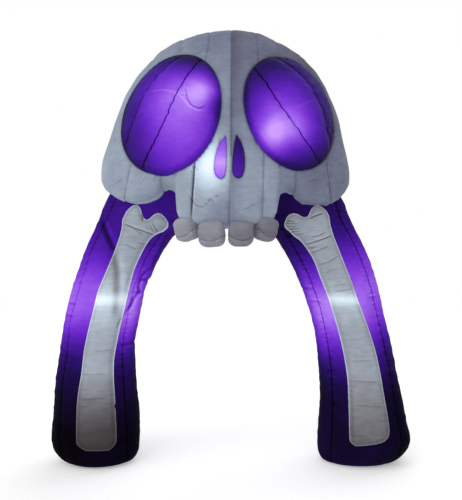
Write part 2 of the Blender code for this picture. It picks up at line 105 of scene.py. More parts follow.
# Marks on the leg cloth: creases painted darker, and the painted soft shadow of the lamp lead
# that hangs inside.
LEG_FOLDS = (
    # width, depth, how much darker, line of x and z
    (0.020, 0.004, 0.26, ((-0.995, 1.845), (-0.950, 1.755), (-0.905, 1.665), (-0.866, 1.590))),
    (0.008, 0.004, 0.14, ((-0.490, 1.760), (-0.545, 1.660), (-0.600, 1.560), (-0.632, 1.480))),
    (0.008, 0.001, 0.26, ((-0.631, 1.489), (-0.689, 1.420), (-0.717, 1.351), (-0.716, 1.300),
                          (-0.749, 1.251), (-0.768, 1.194), (-0.815, 1.120))),
    (0.010, 0.005, 0.18, ((-0.655, 1.392), (-0.701, 1.389))),
    (0.010, 0.004, 0.12, ((-0.690, 1.300), (-0.750, 1.290))),
    (0.010, 0.005, 0.16, ((-0.755, 0.905), (-0.815, 0.897))),
    (0.009, 0.003, 0.10, ((-1.240, 1.215), (-1.160, 1.205))),
    (0.009, 0.003, 0.10, ((-1.262, 1.120), (-1.175, 1.113))),
    (0.009, 0.003, 0.10, ((0.560, 1.330), (0.640, 1.318))),
    (0.009, 0.003, 0.10, ((0.610, 1.230), (0.680, 1.216))),
    (0.009, 0.003, 0.10, ((1.030, 1.250), (1.110, 1.262))),
    (0.012, 0.004, 0.14, ((0.430, 1.715), (0.520, 1.760), (0.560, 1.840))),
)


def through(rows, places):
    """Values on one smooth curve through the rows of a table, at part-row places."""
    rows = np.asarray(rows, float)
    places = np.asarray(places, float)
    last = len(rows) - 1
    low = np.clip(np.floor(places).astype(int), 0, last - 1)
    part = (places - low)[:, None]
    a, b, c, d = (rows[np.clip(low + step, 0, last)] for step in (-1, 0, 1, 2))
    bend = 2 * a - 5 * b + 4 * c - d + part * (3 * (b - c) + d - a)
    return b + 0.5 * part * (c - a + part * bend)


def lamp_light(z, side):
    """How brightly a leg's lamp lights the cloth on one side of it, at these heights."""
    height, up, down, strength, glow_high, glow_low = LEG_LAMPS[side]
    rise = np.clip(z - GLOW_STARTS, 0, 1)
    glow = glow_low + (glow_high - glow_low) * rise * rise * (3 - 2 * rise)
    return glow + strength * np.exp(-((z - height) / np.where(z > height, up, down)) ** 2)


def uneven(points, seed, size):
    """A soft random swell of about -1 to 1, with bumps of this size in metres."""
    pick = np.random.default_rng(seed)
    swell = np.zeros(len(points))
    for _ in range(14):
        way = pick.normal(size=3)
        way *= 2 * np.pi / (size * pick.uniform(0.7, 1.6) * np.linalg.norm(way))
        swell += np.sin(points @ way + pick.uniform(0, 6.283))
    return swell / 3.6


def gathers(points, off, seed, step, reach):
    """Small puckers that run across a seam, strongest beside it and gone at its reach."""
    run = uneven(points, seed, step)
    patchy = np.clip(0.55 + 0.75 * uneven(points, seed + 50, 7 * step), 0, 1.3)
    return run * patchy * np.exp(-(off / reach) ** 2)


def folds(points, marks):
    """How far each point sinks into the listed creases, and the painted shade there: darker in
    each crease and lighter on its lip; a row with a negative shade paints a highlight line.
    """
    sink = np.zeros(len(points))
    dark = np.zeros(len(points))
    flat = points[:, [0, 2]]
    for width, depth, shade, path in marks:
        path = np.array(path, float)
        nearest = np.full(len(flat), 9.0)
        side = np.zeros(len(flat))
        run = np.zeros(len(flat))
        whole = np.linalg.norm(np.diff(path, axis=0), axis=1)
        for i, (start, end) in enumerate(zip(path[:-1], path[1:])):
            way = (end - start) / whole[i]
            away = flat - start
            along = np.clip(away @ way, 0, whole[i])
            gap = away - along[:, None] * way
            off = np.linalg.norm(gap, axis=1)
            near = off < nearest
            nearest[near] = off[near]
            side[near] = (gap @ np.array([-way[1], way[0]]))[near]
            run[near] = (whole[:i].sum() + along)[near] / whole.sum()
        taper = np.clip(np.minimum(run, 1 - run) * 5 + 0.25, 0, 1) * (points[:, 1] < 0.25)
        dip = np.exp(-(nearest / width) ** 2) * taper
        lip = np.exp(-((np.abs(side) - 1.7 * width) / width) ** 2) * (nearest < 4 * width)
        lip *= taper * (side > 0) * np.exp(-np.maximum(nearest - np.abs(side), 0) / width)
        sink += depth * (dip - 0.4 * lip)
        dark += shade * (dip - 0.35 * lip)
    return sink, dark


def grid_normals(grid, wrap):
    """Outward directions of a grid of points, whose rows may close into rings."""
    across = np.roll(grid, -1, 1) - np.roll(grid, 1, 1) if wrap else np.gradient(grid, axis=1)
    way = np.cross(np.gradient(grid, axis=0), across)
    return way / np.maximum(np.linalg.norm(way, axis=2, keepdims=True), 1e-9)


def grid_faces(rows, columns, wrap):
    near = np.arange(rows * columns).reshape(rows, columns)
    right = np.roll(near, -1, 1)
    quads = np.stack([near[:-1], right[:-1], right[1:], near[1:]], axis=2)
    if not wrap:
        quads = quads[:, :-1]
    return quads.reshape(-1, 4).tolist()


def sewn(name, points, faces, marks, material):
    """A cloth piece whose points carry marks that its material reads."""
    mesh = bpy.data.meshes.new(name)
    mesh.from_pydata((np.asarray(points) + (0.0, SET_BACK, 0.0)).tolist(), [], faces)
    mesh.polygons.foreach_set("use_smooth", [True] * len(mesh.polygons))
    for label, values in marks.items():
        mark = mesh.attributes.new(label, "FLOAT", "POINT")
        mark.data.foreach_set("value", np.asarray(values, np.float32))
    mesh.materials.append(material)
    mesh.update()
    made = bpy.data.objects.new(name, mesh)
    bpy.context.scene.collection.objects.link(made)
    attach(made, "root")
    return made


def screen(*tone):
    """A colour named by its three screen values, as light."""
    tone = np.array(tone) / 255.0
    light = np.where(tone <= 0.04045, tone / 12.92, ((tone + 0.055) / 1.055) ** 2.4)
    return (*light.tolist(), 1.0)


def lit_cloth(name, tones, glow, roughness, gloss, seam_dark, seam_half, edge_light=0.0,
              sheen=0.03, pucker=0.08, drawn=0.0):
    """Thin coated cloth with lamps behind it, their light painted in: the lamp light picks a tone
    from the list, and weave, mottling, painted wrinkle shade and sewing lines are drawn over it."""
    material = bpy.data.materials.new(name)
    material.use_nodes = True
    tree = material.node_tree
    shader = tree.nodes["Principled BSDF"]

    def node(kind, **values):
        made = tree.nodes.new(kind)
        for key, value in values.items():
            if hasattr(made, key):
                setattr(made, key, value)
            else:
                made.inputs[key.replace("_", " ")].default_value = value
        return made

    def math(kind, first, second, clamp=False):
        made = node("ShaderNodeMath", operation=kind, use_clamp=clamp)
        for slot, value in enumerate((first, second)):
            if isinstance(value, (int, float)):
                made.inputs[slot].default_value = value
            else:
                tree.links.new(value, made.inputs[slot])
        return made.outputs[0]

    def mark(label):
        return node("ShaderNodeAttribute", attribute_name=label).outputs["Fac"]

    def mottle(scale, detail, stretch=(1, 1, 1)):
        spread = node("ShaderNodeMapping")
        spread.inputs["Scale"].default_value = stretch
        tree.links.new(place, spread.inputs["Vector"])
        made = node("ShaderNodeTexNoise", Scale=scale, Detail=detail, Roughness=0.55)
        tree.links.new(spread.outputs[0], made.inputs["Vector"])
        return math("SUBTRACT", made.outputs["Fac"], 0.5)

    def line(distance, half):
        made = node("ShaderNodeMapRange", interpolation_type="SMOOTHSTEP", clamp=True)
        for key, value in (("From Min", 0.3 * half), ("From Max", half), ("To Min", 1.0),
                           ("To Max", 0.0)):
            made.inputs[key].default_value = value
        tree.links.new(distance, made.inputs["Value"])
        return made.outputs[0]

    def threads(direction, scale):
        made = node("ShaderNodeTexWave", wave_type="BANDS", bands_direction=direction,
                    Scale=scale, Distortion=0.6, Detail=1.0)
        tree.links.new(place, made.inputs["Vector"])
        return made.outputs["Fac"]

    place = node("ShaderNodeTexCoord").outputs["Object"]
    off_seam = math("MULTIPLY", math("PINGPONG", mark("seam"), 0.5), mark("gore"))
    seam = math("MULTIPLY", line(off_seam, seam_half), mark("strong"))
    stitches = math("MULTIPLY", line(off_seam, 0.4 * seam_half), threads("Z", 34.0))
    cloudy = mottle(4.5, 3.0)
    wrinkles = mottle(16.0, 4.0, (1.0, 1.0, 2.4))
    creases = math("ABSOLUTE", mottle(9.0, 2.0, (1.0, 1.0, 1.6)), 0.0)
    beside = math("MULTIPLY", line(off_seam, 0.060), math("MULTIPLY", mark("strong"), pucker))
    puckers = math("MULTIPLY", mottle(24.0, 2.0, (0.3, 0.3, 2.4)), math("ADD", beside, drawn))
    # Random mottling of the cloth, with painted shade of its wrinkles and puckers, stronger where
    # the lamp light is brighter.
    mottle_and_wrinkle_shade = math("ADD", math("MULTIPLY", cloudy, 0.10), math("MULTIPLY", wrinkles, 0.09))
    mottle_and_wrinkle_shade = math("ADD", mottle_and_wrinkle_shade, puckers)
    lit = math("MULTIPLY", mark("light"), 4.0, clamp=True)
    level = math("ADD", mark("light"), math("MULTIPLY", mottle_and_wrinkle_shade, lit))
    level = math("SUBTRACT", level, math("MULTIPLY", seam, seam_dark))
    level = math("ADD", level, math("MULTIPLY", stitches, 0.25 * seam_dark))
    if edge_light:
        level = math("ADD", level, math("MULTIPLY", line(mark("edge"), 0.006), edge_light))
    level = math("ADD", level, 0.0, clamp=True)
    ramp = node("ShaderNodeValToRGB")
    stops = ramp.color_ramp.elements
    for spot, tone in tones[1:-1]:
        stops.new(spot)
    for stop, (spot, tone) in zip(stops, tones):
        stop.position = spot
        stop.color = screen(*tone)
    tree.links.new(level, ramp.inputs["Fac"])
    # The painted lamp glow: the lamp-lit tone goes into the base colour, less the share that is
    # given out as emission.
    painted_glow_base = node("ShaderNodeMixRGB", blend_type="MULTIPLY")
    painted_glow_base.inputs["Fac"].default_value = 1.0
    painted_glow_base.inputs["Color2"].default_value = (1.0 - glow, 1.0 - glow, 1.0 - glow, 1.0)
    tree.links.new(ramp.outputs["Color"], painted_glow_base.inputs["Color1"])
    tree.links.new(painted_glow_base.outputs["Color"], shader.inputs["Base Color"])
    tree.links.new(ramp.outputs["Color"], shader.inputs["Emission Color"])
    shader.inputs["Emission Strength"].default_value = glow
    rough = math("ADD", math("MULTIPLY", mottle(30.0, 3.0), 0.25), roughness)
    tree.links.new(rough, shader.inputs["Roughness"])
    shader.inputs["Specular IOR Level"].default_value = gloss
    shader.inputs["IOR"].default_value = 1.15
    shader.inputs["Sheen Weight"].default_value = sheen
    shader.inputs["Sheen Roughness"].default_value = 0.5
    weave = math("ADD", threads("X", 90.0), threads("Z", 90.0))
    relief = math("ADD", math("MULTIPLY", wrinkles, 0.010), math("MULTIPLY", weave, 0.0003))
    relief = math("SUBTRACT", relief, math("MULTIPLY", creases, 0.010))
    relief = math("ADD", relief, math("MULTIPLY", puckers, 0.04))
    relief = math("SUBTRACT", relief, math("MULTIPLY", seam, 0.0015))
    bump = node("ShaderNodeBump", Strength=0.55, Distance=1.0)
    tree.links.new(relief, bump.inputs["Height"])
    tree.links.new(bump.outputs["Normal"], shader.inputs["Normal"])
    return material


VIOLET_TONES = (
    # lamp light, screen colour
    (0.00, (6, 4, 10)), (0.10, (17, 9, 38)), (0.20, (32, 13, 76)), (0.30, (48, 18, 112)),
    (0.40, (70, 25, 150)), (0.50, (92, 33, 182)), (0.60, (112, 47, 202)),
    (0.70, (134, 66, 218)), (0.80, (152, 92, 230)), (0.90, (175, 125, 240)),
    (1.00, (202, 155, 253)),
)
purple_taffeta = lit_cloth("purple_taffeta", VIOLET_TONES, 0.55, 0.6, 0.03, 0.32, 0.007,
                           sheen=0.0, pucker=0.45)


def tube_places():
    """Part-row places along the tube, close together on the legs, wider in the head."""
    fine = np.linspace(0, len(ARCH) - 1, 4000)
    rows = through(ARCH, fine)
    middle = (rows[:, 0:2] + rows[:, 2:4]) / 2
    step = np.linalg.norm(np.diff(middle, axis=0), axis=1)
    hidden = (fine[:-1] > HIDDEN_ROWS[0]) & (fine[:-1] < HIDDEN_ROWS[1])
    count = np.concatenate([[0], np.cumsum(step / np.where(hidden, 0.035, 0.0125))])
    picked = np.interp(np.arange(0, int(count[-1]) + 1), count, fine)
    foot = np.array([0.0, 0.35, 0.7, 1.0, 1.35, 1.7, 2.0, 2.3, 2.6, 3.0, 3.5])
    last = len(ARCH) - 1
    picked = picked[(picked > 3.6) & (picked < last - 3.6)]
    return np.concatenate([foot, picked, (last - foot)[::-1]])


def tube_grid(places):
    """The tube's skin: rings of gores, with each point's share across its gore."""
    rows = through(ARCH, places)
    outer, inner, depth = rows[:, 0:2], rows[:, 2:4], rows[:, 4]
    middle, half = (outer + inner) / 2, (outer - inner) / 2
    share = (1 - np.cos(np.pi * np.arange(GORE_COLUMNS) / GORE_COLUMNS)) / 2
    angle = np.concatenate([np.pi * (a + (b - a) * share)
                            for a, b in zip(TUBE_SEAMS[:-1], TUBE_SEAMS[1:])])
    share = np.tile(share, 4)
    keep = 1 - GORE_DRAW * np.abs(2 * share - 1) ** 5
    grid = np.zeros((len(rows), len(angle), 3))
    grid[:, :, 0] = middle[:, 0:1] + half[:, 0:1] * np.cos(angle) * keep
    grid[:, :, 2] = middle[:, 1:2] + half[:, 1:2] * np.cos(angle) * keep
    grid[:, :, 1] = depth[:, None] * np.sin(angle) * keep
    return grid, angle, share


def tube_swell(points):
    """How the tube's cloth bulges here and there, away from its seams."""
    return 0.0035 * uneven(points, 11, 0.34) + 0.0014 * uneven(points * (1, 1, 1.8), 12, 0.11)


places = tube_places()
grid, angle, share = tube_grid(places)
skin = grid.reshape(-1, 3)
reach = np.repeat(np.linalg.norm(grid.max(1) - grid.min(1), axis=1) * 0.45, len(angle))
off = np.tile(np.minimum(share, 1 - share), len(grid)) * reach * 1.2
sink, dark = folds(skin, LEG_FOLDS)
calm = np.clip(skin[:, 2] / 0.12, 0, 1)
swell = tube_swell(skin)
swell += 0.0019 * gathers(skin * (0.5, 0.5, 1), off, 13, 0.034, 0.045)
swell += 0.0013 * gathers(skin * (0.4, 0.4, 1), off, 14, 0.020, 0.025)
swell -= SEAM_DIP * np.exp(-(off / 0.010) ** 2) + sink
skin = skin + grid_normals(grid, True).reshape(-1, 3) * (swell * calm)[:, None]
lean = np.tile(np.cos(angle), len(grid))
left = skin[:, 0] < 0
outer, front, inner = (np.where(left, lamp_light(skin[:, 2], "left " + side),
                                lamp_light(skin[:, 2], "right " + side))
                       for side in ("outer", "front", "inner"))
light = np.where(lean > 0, front + (outer - front) * np.clip(lean * 1.35, 0, 1),
                 front + (inner - front) * np.clip(-lean * 1.35, 0, 1))
# Painted shade: the cloth is darker at the far outer and inner sides of the tube.
light *= 1 - 0.30 * np.clip((np.abs(lean) - 0.86) / 0.14, 0, 1) ** 2
# Painted shade in the creases and the lamp lead's shadow, and each bulge painted lighter and each
# dip darker.
light = np.clip(light - dark * (0.4 + light) + 4.0 * swell, 0, 1)
faces = grid_faces(len(grid), len(angle), True)
faces += [list(range(len(angle)))[::-1],
          list(range((len(grid) - 1) * len(angle), len(grid) * len(angle)))]
skin[:, 2] = np.maximum(skin[:, 2], 0.0)
marks = {"light": light, "seam": np.tile(np.repeat(np.arange(4), GORE_COLUMNS) + share,
                                         len(grid)),
         "gore": reach * 1.2,
         "strong": np.where(left, 0.55, 0.9) * np.clip(skin[:, 2] / 0.9 + 0.35, 0, 1)}
arch_tube = sewn("arch_tube", skin, faces, marks, purple_taffeta)
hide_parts("leg_left", "crown", "leg_right")

# ---------------------------------------------------------------------------------------
# Bone panels: white polyester cut in the shape of a bone with two knobs, sewn flat on the
# front of each leg by its edge. The air pushes each panel out, and its knobs are tucked up
# under the cheeks, where the cloth is drawn into creases.

BONES = {
    "bone_left": (
        # left x, left z, right x, right z
        (-1.040, 0.158, -0.885, 0.150),
        (-1.094, 0.190, -0.850, 0.180),
        (-1.112, 0.240, -0.838, 0.235),
        (-1.113, 0.497, -0.852, 0.480),
        (-1.088, 0.708, -0.868, 0.690),
        (-1.073, 0.873, -0.866, 0.830),
        (-1.046, 1.023, -0.837, 1.010),
        (-1.015, 1.160, -0.809, 1.140),
        (-0.982, 1.302, -0.769, 1.330),
        (-0.930, 1.435, -0.731, 1.465),
        (-0.872, 1.580, -0.680, 1.585),
        (-0.832, 1.700, -0.622, 1.688),
        (-0.818, 1.760, -0.570, 1.736),
        (-0.814, 1.788, -0.520, 1.766),
        (-0.814, 1.810, -0.490, 1.794),
        (-0.814, 1.830, -0.484, 1.822),
    ),
    "bone_right": (
        # left x, left z, right x, right z
        (0.900, 0.185, 1.040, 0.205),
        (0.872, 0.205, 1.105, 0.225),
        (0.861, 0.245, 1.143, 0.275),
        (0.860, 0.400, 1.138, 0.380),
        (0.858, 0.601, 1.110, 0.570),
        (0.848, 0.724, 1.090, 0.705),
        (0.820, 0.903, 1.055, 0.880),
        (0.768, 1.116, 0.995, 1.075),
        (0.720, 1.274, 0.940, 1.225),
        (0.672, 1.400, 0.885, 1.390),
        (0.619, 1.540, 0.825, 1.550),
        (0.538, 1.668, 0.772, 1.694),
        (0.482, 1.720, 0.757, 1.745),
        (0.447, 1.757, 0.746, 1.788),
        (0.416, 1.783, 0.741, 1.820),
        (0.408, 1.808, 0.738, 1.850),
    ),
}
BONE_KNOBS = {
    # share across, rise over the last row
    "bone_left": ((0.0, 0.0), (0.045, 0.040), (0.075, 0.063), (0.15, 0.092), (0.23, 0.114),
                  (0.31, 0.122), (0.37, 0.112), (0.42, 0.087), (0.445, 0.045), (0.48, 0.020),
                  (0.545, 0.008), (0.615, 0.023), (0.68, 0.047), (0.745, 0.062),
                  (0.81, 0.068), (0.87, 0.061), (0.92, 0.047), (0.975, 0.028), (1.0, 0.0)),
    "bone_right": ((0.0, 0.0), (0.03, 0.048), (0.10, 0.067), (0.19, 0.072), (0.30, 0.058),
                   (0.37, 0.036), (0.44, 0.028), (0.52, 0.028), (0.56, 0.065), (0.60, 0.090),
                   (0.69, 0.108), (0.75, 0.110), (0.87, 0.080), (0.94, 0.054),
                   (0.985, 0.028), (1.0, 0.0)),
}
BONE_LAMPS = {
    # light at the foot, light from the knee up, then what the lamp adds far and near
    "bone_left": (0.19, 0.62, 0.12, 0.24),
    "bone_right": (0.38, 0.59, 0.06, 0.20),
}
# Creases on the bone panels, each painted darker; the rows with no depth are painted shadow bands
# of the lamp lead that hangs inside.
BONE_FOLDS = (
    # width, depth, how much darker, line of x and z
    (0.0055, 0.006, 0.20, ((-0.800, 1.802), (-0.745, 1.781), (-0.681, 1.758), (-0.585, 1.727))),
    (0.0045, 0.004, 0.12, ((-0.735, 1.772), (-0.690, 1.742), (-0.655, 1.730))),
    (0.0045, 0.005, 0.16, ((-0.590, 1.812), (-0.575, 1.780), (-0.556, 1.752))),
    (0.0045, 0.004, 0.13, ((-0.612, 1.800), (-0.600, 1.775), (-0.585, 1.755))),
    (0.0045, 0.004, 0.11, ((-0.632, 1.792), (-0.622, 1.765))),
    (0.0050, 0.004, 0.12, ((-0.790, 1.648), (-0.745, 1.630), (-0.705, 1.616))),
    (0.0045, 0.003, 0.10, ((-0.700, 1.665), (-0.650, 1.655))),
    (0.0070, 0.008, 0.26, ((-0.668, 1.905), (-0.661, 1.855), (-0.666, 1.825))),
    (0.0240, 0.000, 0.16, ((-0.868, 1.590), (-0.850, 1.440), (-0.852, 1.300), (-0.862, 1.100))),
    (0.0060, 0.000, 0.14, ((-0.812, 1.110), (-0.830, 1.091), (-0.853, 1.030))),
    (0.0055, 0.006, 0.26, ((0.590, 1.842), (0.618, 1.858), (0.685, 1.882))),
    (0.0050, 0.006, 0.20, ((0.550, 1.652), (0.610, 1.664), (0.680, 1.686), (0.750, 1.715))),
    (0.0045, 0.004, 0.14, ((0.600, 1.702), (0.655, 1.714), (0.700, 1.738))),
    (0.0045, 0.004, 0.12, ((0.575, 1.624), (0.640, 1.632))),
    (0.0050, 0.004, 0.14, ((0.590, 1.586), (0.655, 1.606), (0.725, 1.637))),
    (0.0060, 0.004, 0.10, ((0.655, 1.494), (0.730, 1.522), (0.803, 1.563))),
    (0.0050, 0.003, 0.08, ((0.700, 1.440), (0.790, 1.470))),
    (0.0055, 0.003, 0.09, ((0.770, 1.300), (0.893, 1.317))),
    (0.0045, 0.003, 0.08, ((0.760, 1.345), (0.850, 1.352))),
    (0.0040, 0.003, 0.16, ((0.424, 1.838), (0.450, 1.832), (0.482, 1.822))),
    (0.0040, 0.003, 0.16, ((0.420, 1.818), (0.500, 1.806))),
    (0.0040, 0.003, 0.15, ((0.428, 1.796), (0.490, 1.789))),
    (0.0040, 0.003, 0.15, ((0.440, 1.774), (0.520, 1.771))),
    (0.0040, 0.003, 0.14, ((0.456, 1.752), (0.520, 1.753))),
    (0.0040, 0.003, 0.12, ((0.480, 1.728), (0.540, 1.733))),
    (0.0070, 0.003, 0.05, ((-1.080, 0.700), (-0.900, 0.694))),
    (0.0070, 0.003, 0.05, ((-1.090, 0.520), (-0.900, 0.530))),
    (0.0070, 0.003, 0.05, ((-1.000, 0.860), (-0.880, 0.872))),
    (0.0070, 0.003, 0.05, ((0.880, 0.650), (1.080, 0.640))),
    (0.0070, 0.003, 0.05, ((0.880, 0.480), (1.100, 0.470))),
    (0.0070, 0.003, 0.05, ((0.880, 0.790), (1.020, 0.800))),
)
BONE_RISE = 0.014
BONE_SINK = 0.045

WHITE_TONES = (
    # lamp light, screen colour
    (0.00, (26, 22, 24)), (0.25, (70, 65, 66)), (0.40, (99, 97, 102)),
    (0.50, (126, 127, 134)), (0.62, (153, 161, 172)), (0.75, (188, 202, 215)),
    (0.90, (222, 236, 243)), (1.00, (240, 249, 253)),
)
bone_taffeta = lit_cloth("bone_taffeta", WHITE_TONES, 0.35, 0.6, 0.2, 0.0, 0.006, 0.14,
                         drawn=0.09)

tube_rows = through(ARCH, np.linspace(0, len(ARCH) - 1, 700))


def tube_front(x, z):
    """The tube's front at these places of its front view, and how far across it they lie."""
    outer, inner, depth = tube_rows[:, 0:2], tube_rows[:, 2:4], tube_rows[:, 4]
    middle, half = (outer + inner) / 2, (outer - inner) / 2
    wide = np.linalg.norm(half, axis=1)
    way = half / wide[:, None]
    front, across = np.zeros(len(x)), np.full(len(x), 9.0)
    for start in range(0, len(x), 4000):
        spot = slice(start, start + 4000)
        away = np.stack([x[spot], z[spot]], 1)[:, None] - middle
        along = (away * way).sum(2) / wide
        off = np.abs(away[:, :, 0] * way[:, 1] - away[:, :, 1] * way[:, 0])
        off[np.abs(along) > 1.1] += 5
        best = off.argmin(1)
        turn = along[np.arange(len(best)), best]
        turn = np.where(off[np.arange(len(best)), best] > 0.05, 9.0, turn)
        front[spot] = -depth[best] * np.sqrt(np.maximum(0.02, 1 - turn ** 2))
        across[spot] = turn
    return front, across


def rim_distance(flat, outline):
    """Distance in front view from each point to a closed outline, positive inside."""
    start, end = outline, np.roll(outline, -1, 0)
    way = end - start
    long = np.maximum((way ** 2).sum(1), 1e-12)
    away = flat[:, None] - start
    along = np.clip((away * way).sum(2) / long, 0, 1)
    off = np.linalg.norm(away - along[:, :, None] * way, axis=2).min(1)
    over = (start[:, 1] > flat[:, 1:2]) != (end[:, 1] > flat[:, 1:2])
    rise = np.where(np.abs(way[:, 1]) < 1e-12, 1e-12, way[:, 1])
    cross = start[:, 0] + (flat[:, 1:2] - start[:, 1]) * way[:, 0] / rise
    inside = (over & (flat[:, 0:1] < cross)).sum(1) % 2 == 1
    return np.where(inside, off, -off)


def panel_grid(rows, places, across, knobs=None):
    """Front view of a panel: its smoothed rows, with two knobs raised on the last ones."""
    rows_here = through(rows, places)
    x = rows_here[:, 0:1] + (rows_here[:, 2:3] - rows_here[:, 0:1]) * across
    z = rows_here[:, 1:2] + (rows_here[:, 3:4] - rows_here[:, 1:2]) * across
    if knobs:
        table = np.array(knobs)
        soft = [np.interp(across + d, table[:, 0], table[:, 1]) for d in (-0.03, 0, 0.03)]
        last = len(rows) - 1
        part = np.interp(places, [last - 2, last - 1, last], [0.0, 0.5, 1.0])
        z = z + part[:, None] * (np.mean(soft, 0) * 0.7 + soft[1] * 0.3)
    return x, z


def outline_of(x, z):
    """The closed rim of a front-view grid."""
    flat = np.stack([x, z], 2)
    return np.concatenate([flat[0, :-1], flat[:-1, -1], flat[-1, :0:-1], flat[:0:-1, 0]])


def panel_body(front, back):
    """Points and faces of a filled panel between its front grid and its back grid."""
    rows, columns = front.shape[:2]
    half = rows * columns
    order = np.arange(half).reshape(rows, columns)
    rim = np.concatenate([order[0, :-1], order[:-1, -1], order[-1, :0:-1], order[:0:-1, 0]])
    faces = grid_faces(rows, columns, False)
    faces += [[half + i for i in face[::-1]] for face in faces]
    after = np.roll(rim, -1)
    faces += [[b, a, half + a, half + b] for a, b in zip(rim.tolist(), after.tolist())]
    return np.concatenate([front.reshape(-1, 3), back.reshape(-1, 3)]), faces


ease = (1 - np.cos(np.pi * np.linspace(0, 1, 57))) / 2
across = 0.5 * ease + 0.5 * np.linspace(0, 1, 57)
for pick, bone in enumerate(BONES):
    places = np.linspace(0, len(BONES[bone]) - 1, 320)
    x, z = panel_grid(BONES[bone], places, across, BONE_KNOBS[bone])
    flat = np.stack([x.ravel(), z.ravel()], 1)
    edge = np.maximum(rim_distance(flat, outline_of(x, z)), 0)
    on_tube = tube_front(flat[:, 0], flat[:, 1])[0]
    points = np.stack([flat[:, 0], on_tube, flat[:, 1]], 1)
    sink, dark = folds(points, BONE_FOLDS)
    plump = BONE_RISE * (1 - np.exp(-edge / 0.018))
    plump += 0.0012 * uneven(points, 21 + pick, 0.12)
    plump += 0.0030 * gathers(points * (0.6, 0.6, 1), edge, 31 + pick, 0.030, 0.040)
    rise = 0.009 + plump * np.clip(edge / 0.01, 0, 1) - sink * np.clip(edge / 0.01, 0, 1)
    front = points - np.stack([0 * rise, rise, 0 * rise], 1)
    back = points + (0, BONE_SINK, 0)
    body, faces = panel_body(front.reshape(*x.shape, 3), back.reshape(*x.shape, 3))
    foot, knee, far, near = BONE_LAMPS[bone]
    # Painted lamp light on the panel, less in the painted shade of its creases and shadow bands.
    light = np.interp(flat[:, 1], (0.20, 0.70), (foot, knee)) - dark
    light += far * np.exp(-((flat[:, 1] - 1.20) / 0.20) ** 2)
    light += near * np.exp(-((flat[:, 1] - 1.24) / 0.045) ** 2)
    # Painted shade: each bulge of the panel painted lighter and each dip darker.
    light += 3.0 * (rise - 0.009 - BONE_RISE) * (edge > 0.03)
    rise += tube_swell(points)
    # Painted shade: a soft darker band just inside the rim, where the panel rounds down to its
    # seam.
    light -= 0.05 * np.exp(-((edge - 0.018) / 0.010) ** 2)
    marks = {"light": np.tile(np.clip(light, 0, 1), 2), "edge": np.tile(edge, 2)}
    panel = sewn(bone + "_panel", body, faces, marks, bone_taffeta)
    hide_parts(bone)

# ---------------------------------------------------------------------------------------
# Skull head: one big white bag of polyester over the arch, sewn from eight upright strips.
# Its seams draw in, a notch over each leg parts the cheeks from the jaw, and a lamp inside
# behind the left nostril lights the cloth there.

HEAD_CROWN_LINE = (
    # x, z
    (-1.038, 2.293), (-1.016, 2.375), (-0.983, 2.460), (-0.943, 2.560), (-0.905, 2.670),
    (-0.874, 2.750), (-0.848, 2.825), (-0.820, 2.895), (-0.784, 2.970), (-0.741, 3.035),
    (-0.688, 3.095), (-0.628, 3.160), (-0.565, 3.228), (-0.483, 3.283), (-0.419, 3.316),
    (-0.189, 3.396), (0.016, 3.424), (0.214, 3.392), (0.396, 3.296), (0.510, 3.235),
    (0.590, 3.172), (0.650, 3.110), (0.696, 3.045), (0.730, 2.985), (0.762, 2.922),
    (0.792, 2.855), (0.818, 2.790), (0.838, 2.735), (0.855, 2.680), (0.877, 2.570),
    (0.895, 2.470), (0.915, 2.400), (0.932, 2.335), (0.947, 2.276),
)
HEAD_FRONT_EDGE = (
    # x, z: cheek, notch, jaw, notch, cheek
    (-1.038, 2.293), (-1.034, 2.236), (-1.015, 2.170), (-0.957, 2.074), (-0.876, 2.008),
    (-0.806, 1.976), (-0.707, 1.951), (-0.630, 1.962), (-0.549, 1.997), (-0.511, 2.047),
    (-0.468, 2.075), (-0.426, 2.061), (-0.403, 2.019), (-0.393, 1.930), (-0.385, 1.845),
    (-0.330, 1.800), (-0.200, 1.775), (0.000, 1.765), (0.160, 1.775), (0.280, 1.808),
    (0.334, 1.860), (0.342, 1.940), (0.349, 1.990), (0.365, 2.029), (0.393, 2.044),
    (0.425, 2.042), (0.463, 2.012), (0.533, 1.947), (0.603, 1.940), (0.702, 1.942),
    (0.744, 1.954), (0.794, 1.983), (0.864, 2.048), (0.922, 2.138), (0.947, 2.276),
)
HEAD_BACK_EDGE = (
    # x, z
    (-1.038, 2.293), (-1.034, 2.236), (-1.015, 2.170), (-0.957, 2.080), (-0.880, 2.015),
    (-0.750, 1.985), (0.650, 1.985), (0.800, 2.005), (0.864, 2.055), (0.922, 2.138),
    (0.947, 2.276),
)
HEAD_SEAM_LINES = (
    # z, then the place across of each seam, from the left end to the right end
    (1.85, -1.038, -0.820, -0.515, -0.280, -0.012, 0.222, 0.452, 0.760, 0.947),
    (2.25, -1.038, -0.725, -0.495, -0.257, 0.000, 0.234, 0.470, 0.700, 0.947),
    (3.20, -1.038, -0.600, -0.373, -0.168, 0.004, 0.196, 0.354, 0.560, 0.947),
)
HEAD_SEAM_STRONG = (0.0, 0.55, 0.45, 0.9, 0.55, 0.5, 0.35, 0.45, 0.0)
HEAD_ENDS = (-1.038, 0.947)
HEAD_FRONT_DEPTH = 0.60
HEAD_BACK_DEPTH = 0.55
HEAD_PLAN_POWER = 2.8
HEAD_END_POWER = 2.1
HEAD_BROW_POWER = 2.2
HEAD_CHIN_POWER = 3.0
HEAD_NAPE_POWER = 3.4
HEAD_EDGE_REACH = 0.35
JAW_EDGE_SHARE = 0.93
JAW_HOLD = ((-0.403, 0.0), (-0.385, 1.0), (0.334, 1.0), (0.349, 0.0))
HEAD_WIDEST = 0.28
HEAD_STRIP_CROWN = 0.012
HEAD_CREASE = 0.007

